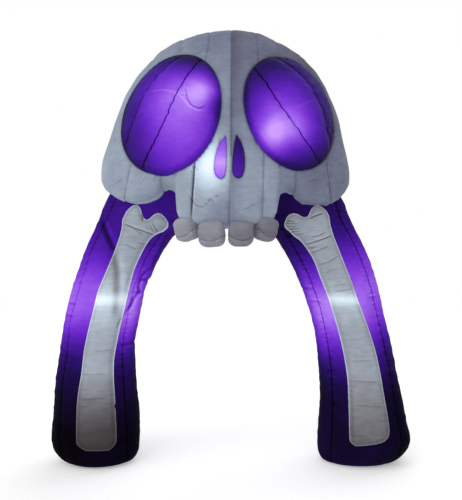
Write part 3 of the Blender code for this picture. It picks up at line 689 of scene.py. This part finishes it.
# Lamp light on the face, by height down the face and by place across it.
# Light on the face by x without lamps: its right half turns away and is darker.
FACE_BASE = ((-0.20, 0.60), (-0.01, 0.56), (0.01, 0.50), (0.10, 0.57), (0.30, 0.57),
             (0.60, 0.45))
# The rows that take light away are no lamps: they paint shade on the crown and low on the jaw.
FACE_LAMPS_AND_SHADE = (
    # x, z, reach across, reach up, light added
    (-0.14, 2.20, 0.13, 0.17, 0.42),
    (-0.30, 3.25, 0.35, 0.60, -0.10), (0.20, 3.10, 0.60, 0.60, -0.15),
    (-0.05, 1.80, 0.16, 0.20, -0.04),
)
# Creases and puckers on the face, each painted darker.
HEAD_FOLDS = (
    # width, depth, how much darker, line of x and z
    (0.0060, 0.009, 0.22, ((-0.254, 2.240), (-0.262, 2.130), (-0.270, 2.000), (-0.280, 1.830))),
    (0.0045, 0.004, 0.13, ((-0.296, 2.200), (-0.262, 2.170))),
    (0.0045, 0.004, 0.13, ((-0.262, 2.185), (-0.232, 2.150))),
    (0.0045, 0.004, 0.10, ((-0.290, 2.150), (-0.264, 2.128))),
    (0.0045, 0.004, 0.13, ((-0.300, 1.975), (-0.270, 1.930), (-0.235, 1.895), (-0.205, 1.888),
                           (-0.175, 1.905), (-0.150, 1.945), (-0.135, 1.940),
                           (-0.116, 1.905))),
    (0.0050, 0.004, 0.14, ((-0.106, 1.968), (-0.092, 1.962))),
    (0.0045, 0.004, 0.12, ((0.085, 1.865), (0.120, 1.882), (0.170, 1.913))),
    (0.0045, 0.003, 0.07, ((0.100, 1.845), (0.150, 1.872))),
    (0.0060, 0.003, 0.06, ((-0.960, 2.430), (-0.842, 2.439))),
    (0.0060, 0.003, 0.06, ((0.797, 2.252), (0.900, 2.250))),
    (0.0050, 0.003, 0.08, ((-0.560, 2.085), (-0.545, 2.110), (-0.535, 2.140))),
    (0.0050, 0.003, 0.07, ((-0.660, 2.060), (-0.600, 2.130))),
    (0.0050, 0.003, 0.07, ((0.560, 2.080), (0.620, 2.110))),
    (0.0050, 0.003, 0.07, ((-0.880, 2.080), (-0.800, 2.120))),
)


def soft_line(table, x, spread=0.006):
    """A table's line read at x, with its corners eased over the spread."""
    rows = np.array(table)
    return np.mean([np.interp(x + d * spread, rows[:, 0], rows[:, 1])
                    for d in (-1.5, -0.75, 0, 0.75, 1.5)], axis=0)


def plan_share(x):
    """How much of the full depth the head keeps at this x: rounded off at both ends."""
    reach = np.abs(x / np.where(x < 0, HEAD_ENDS[0], HEAD_ENDS[1]))
    return np.maximum(0.0, 1 - np.minimum(reach, 1) ** HEAD_PLAN_POWER) ** (1 / HEAD_END_POWER)


def seam_place(count, z):
    """Place across the head of a seam count, whole on a seam, at these heights."""
    table = np.array(HEAD_SEAM_LINES)
    here = np.clip(np.floor(count).astype(int), 0, len(HEAD_SEAM_STRONG) - 2)
    lines = np.array([np.interp(z, table[:, 0], table[:, 1 + i])
                      for i in range(len(HEAD_SEAM_STRONG))])
    low = np.take_along_axis(lines, here[None], 0)[0]
    high = np.take_along_axis(lines, here[None] + 1, 0)[0]
    return low + (high - low) * (count - here), high - low


def edge_share(x):
    """The share of the face's depth that its lower edge keeps."""
    cheek = HEAD_EDGE_REACH / np.maximum(HEAD_FRONT_DEPTH * plan_share(x), 0.05)
    hold = soft_line(JAW_HOLD, x)
    return np.minimum(cheek, 0.90) * (1 - hold) + JAW_EDGE_SHARE * hold


def head_middle(x):
    base = soft_line(HEAD_BACK_EDGE, x)
    return base + HEAD_WIDEST * (soft_line(HEAD_CROWN_LINE, x, 0.012) - base)


def face_y(x, z):
    """The face's crowned surface, where the eyes and nostrils are sewn in."""
    middle = head_middle(x)
    top = soft_line(HEAD_CROWN_LINE, x, 0.012)
    low = soft_line(HEAD_FRONT_EDGE, x)
    rise = np.clip((z - middle) / np.maximum(top - middle, 1e-6), 0, 1)
    brow = (1 - rise ** HEAD_BROW_POWER) ** (1 / HEAD_BROW_POWER)
    drop = np.clip((middle - z) / (middle - low), 0, 1)
    keep = edge_share(x)
    chin = keep + (1 - keep) * (1 - drop ** HEAD_CHIN_POWER) ** (1 / HEAD_CHIN_POWER)
    return -HEAD_FRONT_DEPTH * plan_share(x) * np.where(z >= middle, brow, chin)


def head_stations():
    """Seam counts of the head's fore-and-aft slices, close together at each seam."""
    found = []
    for strip, columns in enumerate((28, 24, 22, 24, 22, 22, 25, 24)):
        share = np.arange(columns) / columns
        eased = (1 - np.cos(np.pi * share)) / 2
        found.append(strip + 0.45 * share + 0.55 * eased)
    count = np.concatenate(found)
    ends = np.array([0.002, 0.005, 0.009, 0.015, 0.024, 0.036, 0.052])
    inside = count[(count > 0.065) & (count < 7.935)]
    return np.concatenate([ends, inside, (8 - ends)[::-1]])


def head_grid(count):
    """Slices of the head, from the back over the crown, down the face and round under."""
    turn = np.concatenate([np.linspace(0, 0.5, 60)[:-1], np.linspace(0.5, 1, 96)]) * np.pi
    chin = np.linspace(0, 0.5 * np.pi, 56)[1:]
    nape = np.linspace(0, 0.5 * np.pi, 40)[1:-1]
    under = np.linspace(1, 0, 24)[1:]
    shape = (len(count), len(turn) + len(chin) + len(under) + len(nape))
    edge_at = len(turn) + len(chin) - 1
    count = np.broadcast_to(count[:, None], shape)
    share = count - np.floor(count)
    z = np.full(shape, 2.25)
    for _ in range(4):
        x, strip = seam_place(count, z)
        top, middle = soft_line(HEAD_CROWN_LINE, x, 0.012), head_middle(x)
        front_low, back_low = soft_line(HEAD_FRONT_EDGE, x), soft_line(HEAD_BACK_EDGE, x)
        keep, full = edge_share(x), plan_share(x)
        draw = np.minimum(HEAD_STRIP_CROWN * (2 * share - 1) ** 2,
                          0.3 * HEAD_FRONT_DEPTH * full)
        first, second = len(turn), edge_at + 1
        third = second + len(under)
        out, lift = np.zeros(shape), np.zeros(shape)
        out[:, :first] = np.sign(np.cos(turn)) * np.abs(np.cos(turn)) ** (2 / HEAD_BROW_POWER)
        lift[:, :first] = np.abs(np.sin(turn)) ** (2 / HEAD_BROW_POWER)
        held = keep[:, first:second]
        out[:, first:second] = -held - (1 - held) * np.cos(chin) ** (2 / HEAD_CHIN_POWER)
        lift[:, first:second] = -np.sin(chin) ** (2 / HEAD_CHIN_POWER)
        out[:, second:third] = -keep[:, second:third] * under
        lift[:, second:third] = -1
        out[:, third:] = np.sin(nape) ** (2 / HEAD_NAPE_POWER)
        lift[:, third:] = -np.cos(nape) ** (2 / HEAD_NAPE_POWER)
        blend = np.clip((out + 0.45) / 0.60, 0, 1)
        blend = blend * blend * (3 - 2 * blend)
        low = front_low + (back_low - front_low) * blend
        z = np.where(lift >= 0, middle + (top - middle - 0.2 * draw) * lift,
                     middle + (middle - low) * lift)
    depth = np.where(out < 0, HEAD_FRONT_DEPTH, HEAD_BACK_DEPTH)
    y = (depth * full - draw) * out
    off = np.minimum(share, 1 - share) * strip
    off = np.where((count < 0.5) | (count > 7.5), 9.0, off)
    return np.stack([x, y, z], 2), count, strip, off, edge_at


def face_light(x, z):
    """Painted lamp light on the face: even cloth, darker right of its ridge, the lamps,
    and painted shade on the crown and low on the jaw.
    """
    light = np.interp(x, *np.transpose(FACE_BASE))
    for lamp_x, lamp_z, wide, tall, added in FACE_LAMPS_AND_SHADE:
        near = np.exp(-((x - lamp_x) / wide) ** 2 - ((z - lamp_z) / tall) ** 2)
        light += added * near * ((x > 0) == (lamp_x > 0))
    return light


# Outlines of what is sewn into the face, which the head's cloth is turned in behind.
EYES = {
    # name: centre x, centre z, half length, half width, lean in degrees, egg factor
    "eye_left": (-0.439, 2.592, 0.476, 0.365, 16.2, -0.035),
    "eye_right": (0.433, 2.601, 0.450, 0.334, -13.4, 0.022),
}
NOSTRILS = {
    "nostril_left": (
        # left x, z, right x, z, from the foot up to the tip
        (-0.080, 2.086, -0.064, 2.086), (-0.105, 2.106, -0.045, 2.106),
        (-0.117, 2.139, -0.038, 2.139), (-0.119, 2.175, -0.034, 2.175),
        (-0.113, 2.232, -0.033, 2.232), (-0.099, 2.289, -0.032, 2.289),
        (-0.076, 2.346, -0.033, 2.346), (-0.041, 2.388, -0.038, 2.388),
    ),
    "nostril_right": (
        # left x, z, right x, z, from the foot up to the tip
        (0.044, 2.092, 0.062, 2.092), (0.022, 2.109, 0.079, 2.109),
        (0.012, 2.139, 0.090, 2.139), (0.010, 2.175, 0.096, 2.175),
        (0.013, 2.232, 0.096, 2.232), (0.019, 2.289, 0.089, 2.289),
        (0.027, 2.350, 0.068, 2.350), (0.038, 2.397, 0.041, 2.397),
    ),
}


def egg_grid(values, rows, columns):
    """Front view of an egg-shaped dome, closed in a tip at both ends."""
    centre_x, centre_z, length, width, lean, egg = values
    lean = np.radians(lean)
    along = -np.cos(np.pi * np.linspace(0.03, 0.97, rows))[:, None]
    half = width * np.sqrt(1 - along ** 2) * (1 + egg * along)
    side = (2 * columns - 1) * half
    x = centre_x + np.sin(lean) * length * along + np.cos(lean) * side
    z = centre_z + np.cos(lean) * length * along - np.sin(lean) * side
    return x, z, along


evenly = np.linspace(0, 1, 65)[None]
EYE_OUTLINES = {name: outline_of(*egg_grid(EYES[name], 61, evenly)[:2]) for name in EYES}
NOSTRIL_OUTLINES = {
    name: outline_of(*panel_grid(NOSTRILS[name], np.linspace(0, 7, 40), evenly[:, ::8]))
    for name in NOSTRILS
}

BAG_TONES = (
    # lamp light, screen colour
    (0.00, (22, 18, 30)), (0.25, (64, 62, 76)), (0.40, (97, 98, 117)),
    (0.50, (119, 125, 146)), (0.62, (149, 160, 174)), (0.75, (186, 203, 219)),
    (0.90, (220, 238, 248)), (1.00, (240, 253, 254)),
)
bag_taffeta = lit_cloth("bag_taffeta", BAG_TONES, 0.30, 0.6, 0.15, 0.14, 0.006, 0.16,
                        pucker=0.12)
grid, count, strip, off, edge_at = head_grid(head_stations())
skin = grid.reshape(-1, 3)
off = off.ravel()
steps = np.linalg.norm(np.diff(grid, axis=1), axis=2)
run = np.concatenate([np.zeros((len(grid), 1)), np.cumsum(steps, 1)], 1)
edge = np.abs(run - run[:, edge_at:edge_at + 1]).ravel()
sink, dark = folds(skin, HEAD_FOLDS)
facing = skin[:, 1] < -0.02
sink, dark = sink * facing, dark * facing
flat = skin[:, [0, 2]]
front_part = np.where(facing)[0]
tucked = np.zeros(len(skin))
around = np.full(len(skin), 9.0)
for outline, depth in [*((o, 0.055) for o in EYE_OUTLINES.values()),
                       *((o, 0.032) for o in NOSTRIL_OUTLINES.values())]:
    low, high = outline.min(0) - 0.12, outline.max(0) + 0.12
    spot = front_part[((flat[front_part] > low) & (flat[front_part] < high)).all(1)]
    within = rim_distance(flat[spot], outline)
    turn_in = np.clip((within + 0.002) / (0.4 * depth), 0, 1)
    tucked[spot] = np.maximum(tucked[spot], depth * turn_in * turn_in * (3 - 2 * turn_in))
    around[spot] = np.minimum(around[spot], np.maximum(-within, 0))
crown = np.clip((skin[:, 2] - 2.6) / 0.5, 0, 1)
swell = 0.0045 * uneven(skin, 41, 0.42) + 0.0016 * uneven(skin, 42, 0.13)
swell += 0.0026 * gathers(skin * (0.4, 1, 1), off, 43, 0.040, 0.060)
swell += 0.0016 * gathers(skin * (0.3, 1, 1), off, 44, 0.022, 0.030)
swell += 0.0022 * gathers(skin * (1, 0.5, 0.3), edge, 45, 0.034, 0.045) * facing
swell += 0.0022 * gathers(skin, around, 46, 0.030, 0.035)
swell -= HEAD_CREASE * (1 - 0.6 * crown) * np.exp(-(off / 0.011) ** 2) + sink
swell *= np.clip(around / 0.025, 0, 1)
tip_calm = np.clip(plan_share(skin[:, 0]) * 1.6, 0, 1)
outward = -grid_normals(grid, True).reshape(-1, 3)
skin = skin + outward * (swell * tip_calm - tucked)[:, None]
face = face_light(skin[:, 0], skin[:, 2])
# Painted lamp light on the back of the bag: even, a little darker towards its right end.
behind = np.clip((skin[:, 1] + 0.10) / 0.30, 0, 1)
light = face * (1 - behind) + behind * (0.46 - 0.06 * skin[:, 0])
# Painted shadow: a dark ring round each eye and nostril, where the cloth turns in behind them.
light -= 0.12 * np.exp(-(around / 0.005) ** 2) + 0.015 * np.exp(-(around / 0.02) ** 2)
# Painted shade in the creases, and each bulge of the cloth painted lighter and each dip darker.
light = np.clip(light - dark + 3.0 * swell, 0, 1)
faces = grid_faces(len(grid), grid.shape[1], True)
front, turn = tube_front(flat[:, 0], flat[:, 1])
hidden = (turn ** 2 + (skin[:, 1] / 0.30) ** 2) < 0.90
faces = [face for face in faces if not all(hidden[i] for i in face)]
last = (len(grid) - 1) * grid.shape[1]
faces += [list(range(grid.shape[1]))[::-1], list(range(last, last + grid.shape[1]))]
strong = np.array(HEAD_SEAM_STRONG)[np.round(count.ravel()).astype(int)]
marks = {"light": light, "seam": count.ravel(), "gore": strip.ravel(),
         "strong": strong * (1 - 0.5 * crown), "edge": np.where(facing, edge, 1.0)}
head_bag = sewn("head_bag", skin, faces, marks, bag_taffeta)
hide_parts("head")

# ---------------------------------------------------------------------------------------
# Eyes: two big egg-shaped domes of purple polyester, each sewn from four gores that run
# from tip to tip and sewn into a hole in the face. A lamp behind each one makes a pale
# patch on the side nearer the nose.

EYE_RISE = 0.13
EYE_LIP = 0.004
EYE_SINK = 0.045
EYE_GORE_DRAW = 0.012
EYE_SEAMS = {
    # name: z, then the place across of the two seams that show, from left to right
    "eye_left": ((2.15, -0.820, -0.645), (2.38, -0.748, -0.509), (2.62, -0.664, -0.404),
                 (2.78, -0.580, -0.330), (2.95, -0.448, -0.242), (3.06, -0.345, -0.187)),
    "eye_right": ((2.15, 0.695, 0.830), (2.24, 0.614, 0.790), (2.42, 0.467, 0.716),
                  (2.52, 0.392, 0.692), (2.62, 0.321, 0.655), (2.70, 0.277, 0.614),
                  (2.86, 0.192, 0.510), (3.04, 0.098, 0.313)),
}
EYE_SEAM_STRONG = {"eye_left": (0.30, 1.0), "eye_right": (1.0, 0.50)}
EYE_LAMPS = {
    # name: base light, then lamps and shaded spots as x, z, reach, light added
    "eye_left": (0.15, ((-0.39, 2.66, 0.30, 0.54), (-0.32, 2.27, 0.34, 0.42),
                        (-0.19, 2.70, 0.13, 0.42), (-0.09, 2.60, 0.09, -0.22),
                        (-0.30, 3.03, 0.14, -0.14))),
    "eye_right": (0.10, ((0.28, 2.36, 0.12, 0.34), (0.36, 2.46, 0.26, 0.56),
                         (0.50, 2.40, 0.12, 0.14), (0.41, 2.78, 0.45, 0.20),
                         (0.28, 3.00, 0.14, -0.10))),
}
# Creases on the eyes: the first row is the painted shadow of the lamp lead inside the left eye,
# and the rows with a negative shade are painted highlight lines.
EYE_FOLDS = (
    # width, depth, how much darker, line of x and z
    (0.0045, 0.004, 0.24, ((-0.316, 2.700), (-0.308, 2.660), (-0.298, 2.622),
                           (-0.280, 2.592), (-0.257, 2.570), (-0.229, 2.560),
                           (-0.205, 2.568), (-0.181, 2.590))),
    (0.0060, 0.004, -0.14, ((-0.607, 2.712), (-0.480, 2.704), (-0.390, 2.678),
                            (-0.340, 2.640), (-0.287, 2.572), (-0.229, 2.545),
                            (-0.170, 2.552))),
    (0.0050, 0.003, -0.12, ((-0.390, 2.690), (-0.340, 2.670), (-0.300, 2.672))),
    (0.0060, 0.003, -0.05, ((0.215, 2.420), (0.232, 2.370), (0.262, 2.345))),
    (0.0050, 0.003, -0.18, ((0.352, 2.575), (0.368, 2.545), (0.392, 2.505))),
    (0.0120, 0.002, -0.07, ((0.450, 2.560), (0.560, 2.640), (0.640, 2.680))),
)
eye_taffeta = lit_cloth("eye_taffeta", VIOLET_TONES, 0.50, 0.5, 0.10, 0.45, 0.0060,
                        pucker=0.06)


for pick, eye in enumerate(EYES):
    columns = np.linspace(0, 1, 131)[None]
    share = 0.35 * columns + 0.65 * (1 - np.cos(np.pi * columns)) / 2
    x, z, along = egg_grid(EYES[eye], 160, share)
    share = np.broadcast_to(share, x.shape)
    dome = (1 - along ** 2) * (1 - (2 * share - 1) ** 2)
    flat = np.stack([x.ravel(), z.ravel()], 1)
    seams = np.array(EYE_SEAMS[eye])
    place = np.interp(flat[:, 1], seams[:, 0], np.arange(len(seams)))
    wander = 0.003 * uneven(flat[:, [1, 1, 1]], 57 + pick, 0.07)
    low, high = through(seams[:, 1:], place).T + wander
    gore = (high - low) / np.hypot(1, (seams[-1, 2] - seams[0, 2]) / (seams[-1, 0] - seams[0, 0]))
    count = np.clip(1 + (flat[:, 0] - low) / (high - low), 0.5, 2.5)
    off = np.abs(count - np.round(count)) * gore
    off = np.where((count <= 0.5) | (count >= 2.5), 9.0, off)
    strong = np.array(EYE_SEAM_STRONG[eye])[(count > 1.5).astype(int)]
    edge = np.maximum(rim_distance(flat, outline_of(x, z)), 0)
    draw = EYE_GORE_DRAW * np.exp(-(off.reshape(x.shape) / 0.035) ** 2) * dome ** 0.5
    y = face_y(x, z) - EYE_LIP - EYE_RISE * dome ** 0.65 + draw
    points = np.stack([flat[:, 0], y.ravel(), flat[:, 1]], 1)
    sink, dark = folds(points, EYE_FOLDS)
    soft = np.clip(edge / 0.03, 0, 1)
    swell = 0.0030 * uneven(points, 51 + pick, 0.22) * soft
    swell += 0.0024 * gathers(points, off, 53 + pick, 0.036, 0.045) * soft
    swell += 0.0030 * gathers(points, edge, 55 + pick, 0.032, 0.045) * np.clip(edge / 0.01, 0, 1)
    swell -= 0.006 * np.exp(-(off / 0.009) ** 2) * soft + sink
    normal = grid_normals(points.reshape(*x.shape, 3), False).reshape(-1, 3)
    normal *= -np.sign(normal[:, 1:2] + 1e-9)
    points = points + normal * swell[:, None]
    base, lamps = EYE_LAMPS[eye]
    light = np.full(len(flat), base)
    for lamp_x, lamp_z, reach, added in lamps:
        gap = np.hypot(flat[:, 0] - lamp_x, flat[:, 1] - lamp_z)
        light += added * np.exp(-(gap / reach) ** 2)
    # Painted shade: each dome is darker towards its rim.
    light *= 0.72 + 0.28 * np.clip(edge / 0.045, 0, 1)
    # Painted shade in the creases, painted highlight lines, and each bulge painted lighter and
    # each dip darker.
    light = np.clip(light - dark + 4.0 * swell, 0, 1)
    back = np.stack([flat[:, 0], face_y(x, z).ravel() + EYE_SINK, flat[:, 1]], 1)
    body, faces = panel_body(points.reshape(*x.shape, 3), back.reshape(*x.shape, 3))
    marks = {"light": np.tile(light, 2), "seam": np.tile(count, 2),
             "gore": np.tile(gore, 2), "strong": np.tile(strong, 2)}
    dome_piece = sewn(eye + "_dome", body, faces, marks, eye_taffeta)
    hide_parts(eye)

# ---------------------------------------------------------------------------------------
# Nostrils: two teardrop panels of purple polyester sewn flat into the face either side of
# its middle seam. The lamp stands behind the left one, and the right one stays in shade.

NOSTRIL_RISE = 0.010
NOSTRIL_SINK = 0.028
NOSTRIL_LIGHT = {
    # name: light at the tip, light in the middle, light at the foot
    "nostril_left": (0.70, 1.00, 0.80),
    "nostril_right": (0.26, 0.36, 0.45),
}
nostril_taffeta = lit_cloth("nostril_taffeta", VIOLET_TONES, 0.50, 0.5, 0.15, 0.0, 0.006, -0.20)
for nostril in NOSTRILS:
    columns = np.linspace(0, 1, 25)[None]
    x, z = panel_grid(NOSTRILS[nostril], np.linspace(0, 7, 70), columns)
    flat = np.stack([x.ravel(), z.ravel()], 1)
    edge = np.maximum(rim_distance(flat, outline_of(x, z)), 0)
    rise = 0.003 + NOSTRIL_RISE * np.clip(edge / 0.030, 0, 1) ** 0.7
    base = face_y(flat[:, 0], flat[:, 1])
    rise += 0.0012 * uneven(np.stack([flat[:, 0], base, flat[:, 1]], 1), 61, 0.06) * (edge > 0)
    front = np.stack([flat[:, 0], base - rise, flat[:, 1]], 1)
    back = np.stack([flat[:, 0], base + NOSTRIL_SINK, flat[:, 1]], 1)
    body, faces = panel_body(front.reshape(*x.shape, 3), back.reshape(*x.shape, 3))
    tip, mid, foot = NOSTRIL_LIGHT[nostril]
    light = np.interp(flat[:, 1], (2.08, 2.20, 2.37), (foot, mid, tip))
    marks = {"light": np.tile(light, 2), "edge": np.tile(edge, 2)}
    teardrop = sewn(nostril + "_panel", body, faces, marks, nostril_taffeta)
    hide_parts(nostril)

# ---------------------------------------------------------------------------------------
# Teeth: four small filled blocks of the same white cloth along the jaw, each boxed from a
# top band and a bottom panel. The seam round the bottom panel puckers, and the blocks get
# only weak warm light from above.

TEETH = {
    # name: centre x, y, z, half width, half depth, half height, roll, turn in degrees
    "tooth_1": (-0.316, -0.500, 1.742, 0.080, 0.085, 0.088, -14.0, -24.0),
    "tooth_2": (-0.136, -0.555, 1.700, 0.094, 0.095, 0.092, -2.0, -6.0),
    "tooth_3": (0.069, -0.555, 1.702, 0.089, 0.095, 0.090, 1.0, 6.0),
    "tooth_4": (0.246, -0.500, 1.742, 0.080, 0.085, 0.088, 14.0, 24.0),
}
TOOTH_POWER = 3.2
TOOTH_SEAM = -0.66
TOOTH_SEAM_BOW = 0.40
TOOTH_LIGHT = {"tooth_1": 0.54, "tooth_2": 0.52, "tooth_3": 0.45, "tooth_4": 0.44}
TOOTH_TONES = (
    # lamp light, screen colour
    (0.00, (28, 24, 30)), (0.25, (70, 67, 76)), (0.40, (100, 98, 110)),
    (0.55, (138, 140, 149)), (0.70, (176, 180, 190)), (1.00, (238, 244, 250)),
)
tooth_taffeta = lit_cloth("tooth_taffeta", TOOTH_TONES, 0.25, 0.6, 0.15, 0.10, 0.0035,
                          pucker=0.10)


def rounded(angle):
    return np.sign(angle) * np.abs(angle) ** (2 / TOOTH_POWER)


for pick, tooth in enumerate(TEETH):
    x, y, z, width, depth, height, roll, turn = TEETH[tooth]
    level = np.pi * (np.linspace(0, 1, 58)[1:-1] - 0.5)[:, None]
    around = 2 * np.pi * np.arange(88)[None] / 88
    shrink = np.cos(level) ** (2 / TOOTH_POWER)
    local = np.stack([width * shrink * rounded(np.cos(around)),
                      depth * shrink * rounded(np.sin(around)),
                      height * rounded(np.sin(level)) * np.ones_like(around)], 2)
    outward = local / np.linalg.norm(local, axis=2, keepdims=True)
    flat = local.reshape(-1, 3)
    drop = flat[:, 2] / height - TOOTH_SEAM - TOOTH_SEAM_BOW * (flat[:, 0] / width) ** 2
    off = np.abs(drop) * height
    swell = 0.0016 * uneven(flat, 71 + pick, 0.07)
    swell += 0.0016 * gathers(flat * (1, 1, 0.3), off, 75 + pick, 0.018, 0.020)
    swell -= 0.004 * np.exp(-(off / 0.006) ** 2)
    flat = flat + outward.reshape(-1, 3) * swell[:, None]
    flat = np.concatenate([flat, [(0, 0, -height), (0, 0, height)]])
    roll, turn = np.radians(roll), np.radians(turn)
    tilt = np.array([[np.cos(roll), 0, np.sin(roll)], [0, 1, 0],
                     [-np.sin(roll), 0, np.cos(roll)]])
    swing = np.array([[np.cos(turn), -np.sin(turn), 0], [np.sin(turn), np.cos(turn), 0],
                      [0, 0, 1]])
    body = flat @ (tilt @ swing).T + (x, y, z)
    count, rows = around.shape[1], level.shape[0]
    faces = grid_faces(rows, count, True)
    faces += [[rows * count, (i + 1) % count, i] for i in range(count)]
    faces += [[rows * count + 1, (rows - 1) * count + i, (rows - 1) * count + (i + 1) % count]
              for i in range(count)]
    # Painted light and shade: each block darker towards its bottom, each bulge painted lighter
    # and each dip darker, and its bottom panel below the seam painted a little lighter.
    light = TOOTH_LIGHT[tooth] + 0.05 * np.clip(flat[:, 2] / height, -1, 0.6)
    light[:-2] += 4.0 * swell
    light[:-2] += 0.05 * (drop < 0)
    marks = {"light": light, "seam": np.clip(np.append(drop, [0.5, 0.5]), -0.5, 0.5),
             "gore": np.full(len(flat), height), "strong": np.ones(len(flat))}
    block = sewn(tooth + "_block", body, faces, marks, tooth_taffeta)
    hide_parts(tooth)

# ---------------------------------------------------------------------------------------
# Studio: a plain pale floor, soft lamps and the camera in front at chest height, tilted up.

floor_mesh = bpy.data.meshes.new("floor")
floor_mesh.from_pydata([(-30, -12, -0.001), (30, -12, -0.001), (30, 40, -0.001),
                        (-30, 40, -0.001)], [], [(0, 1, 2, 3)])
floor = bpy.data.objects.new("floor", floor_mesh)
bpy.context.scene.collection.objects.link(floor)
pale = bpy.data.materials.new("pale_floor")
pale.use_nodes = True
pale_shader = pale.node_tree.nodes["Principled BSDF"]
pale_shader.inputs["Base Color"].default_value = (0.86, 0.86, 0.86, 1)
pale_shader.inputs["Roughness"].default_value = 0.9
pale_shader.inputs["Specular IOR Level"].default_value = 0.1
pale_shader.inputs["Emission Color"].default_value = (1, 1, 1, 1)
pale_shader.inputs["Emission Strength"].default_value = 0.32
floor_mesh.materials.append(pale)

world = bpy.data.worlds.new("soft_studio")
world.use_nodes = True
bpy.context.scene.world = world
sky = world.node_tree.nodes["Background"]
sky.inputs["Color"].default_value = (1, 1, 1, 1)
seen = world.node_tree.nodes.new("ShaderNodeLightPath")
strength = world.node_tree.nodes.new("ShaderNodeMapRange")
strength.inputs["To Min"].default_value = 0.55
strength.inputs["To Max"].default_value = 1.0
world.node_tree.links.new(seen.outputs["Is Camera Ray"], strength.inputs["Value"])
world.node_tree.links.new(strength.outputs[0], sky.inputs["Strength"])

for name, way, power, spread in (
    ("key_lamp", (-0.50, -0.80, 0.50), 1.5, 70),
    ("back_lamp", (0.40, 0.75, 0.60), 1.0, 70),
):
    lamp = bpy.data.lights.new(name, "SUN")
    lamp.energy = power
    lamp.angle = np.radians(spread)
    stand = bpy.data.objects.new(name, lamp)
    stand.location = np.array(way) * 8
    stand.rotation_euler = (np.arctan2(np.hypot(way[0], way[1]), way[2]), 0,
                            np.arctan2(way[0], -way[1]))
    bpy.context.scene.collection.objects.link(stand)

PHOTO_TALL = 500
FOCUS_PIXELS = 550.0
lens = bpy.data.cameras.new("camera")
lens.sensor_fit = "VERTICAL"
lens.sensor_height = 36.0
lens.lens = 36.0 * FOCUS_PIXELS / PHOTO_TALL
camera = bpy.data.objects.new("camera", lens)
camera.location = (0.0, -4.4 + SET_BACK, 1.25)
camera.rotation_euler = (np.radians(95.0), 0.0, 0.0)
bpy.context.scene.collection.objects.link(camera)
bpy.context.scene.camera = camera
bpy.context.scene.view_settings.view_transform = "Standard"

bpy.context.view_layer.update()
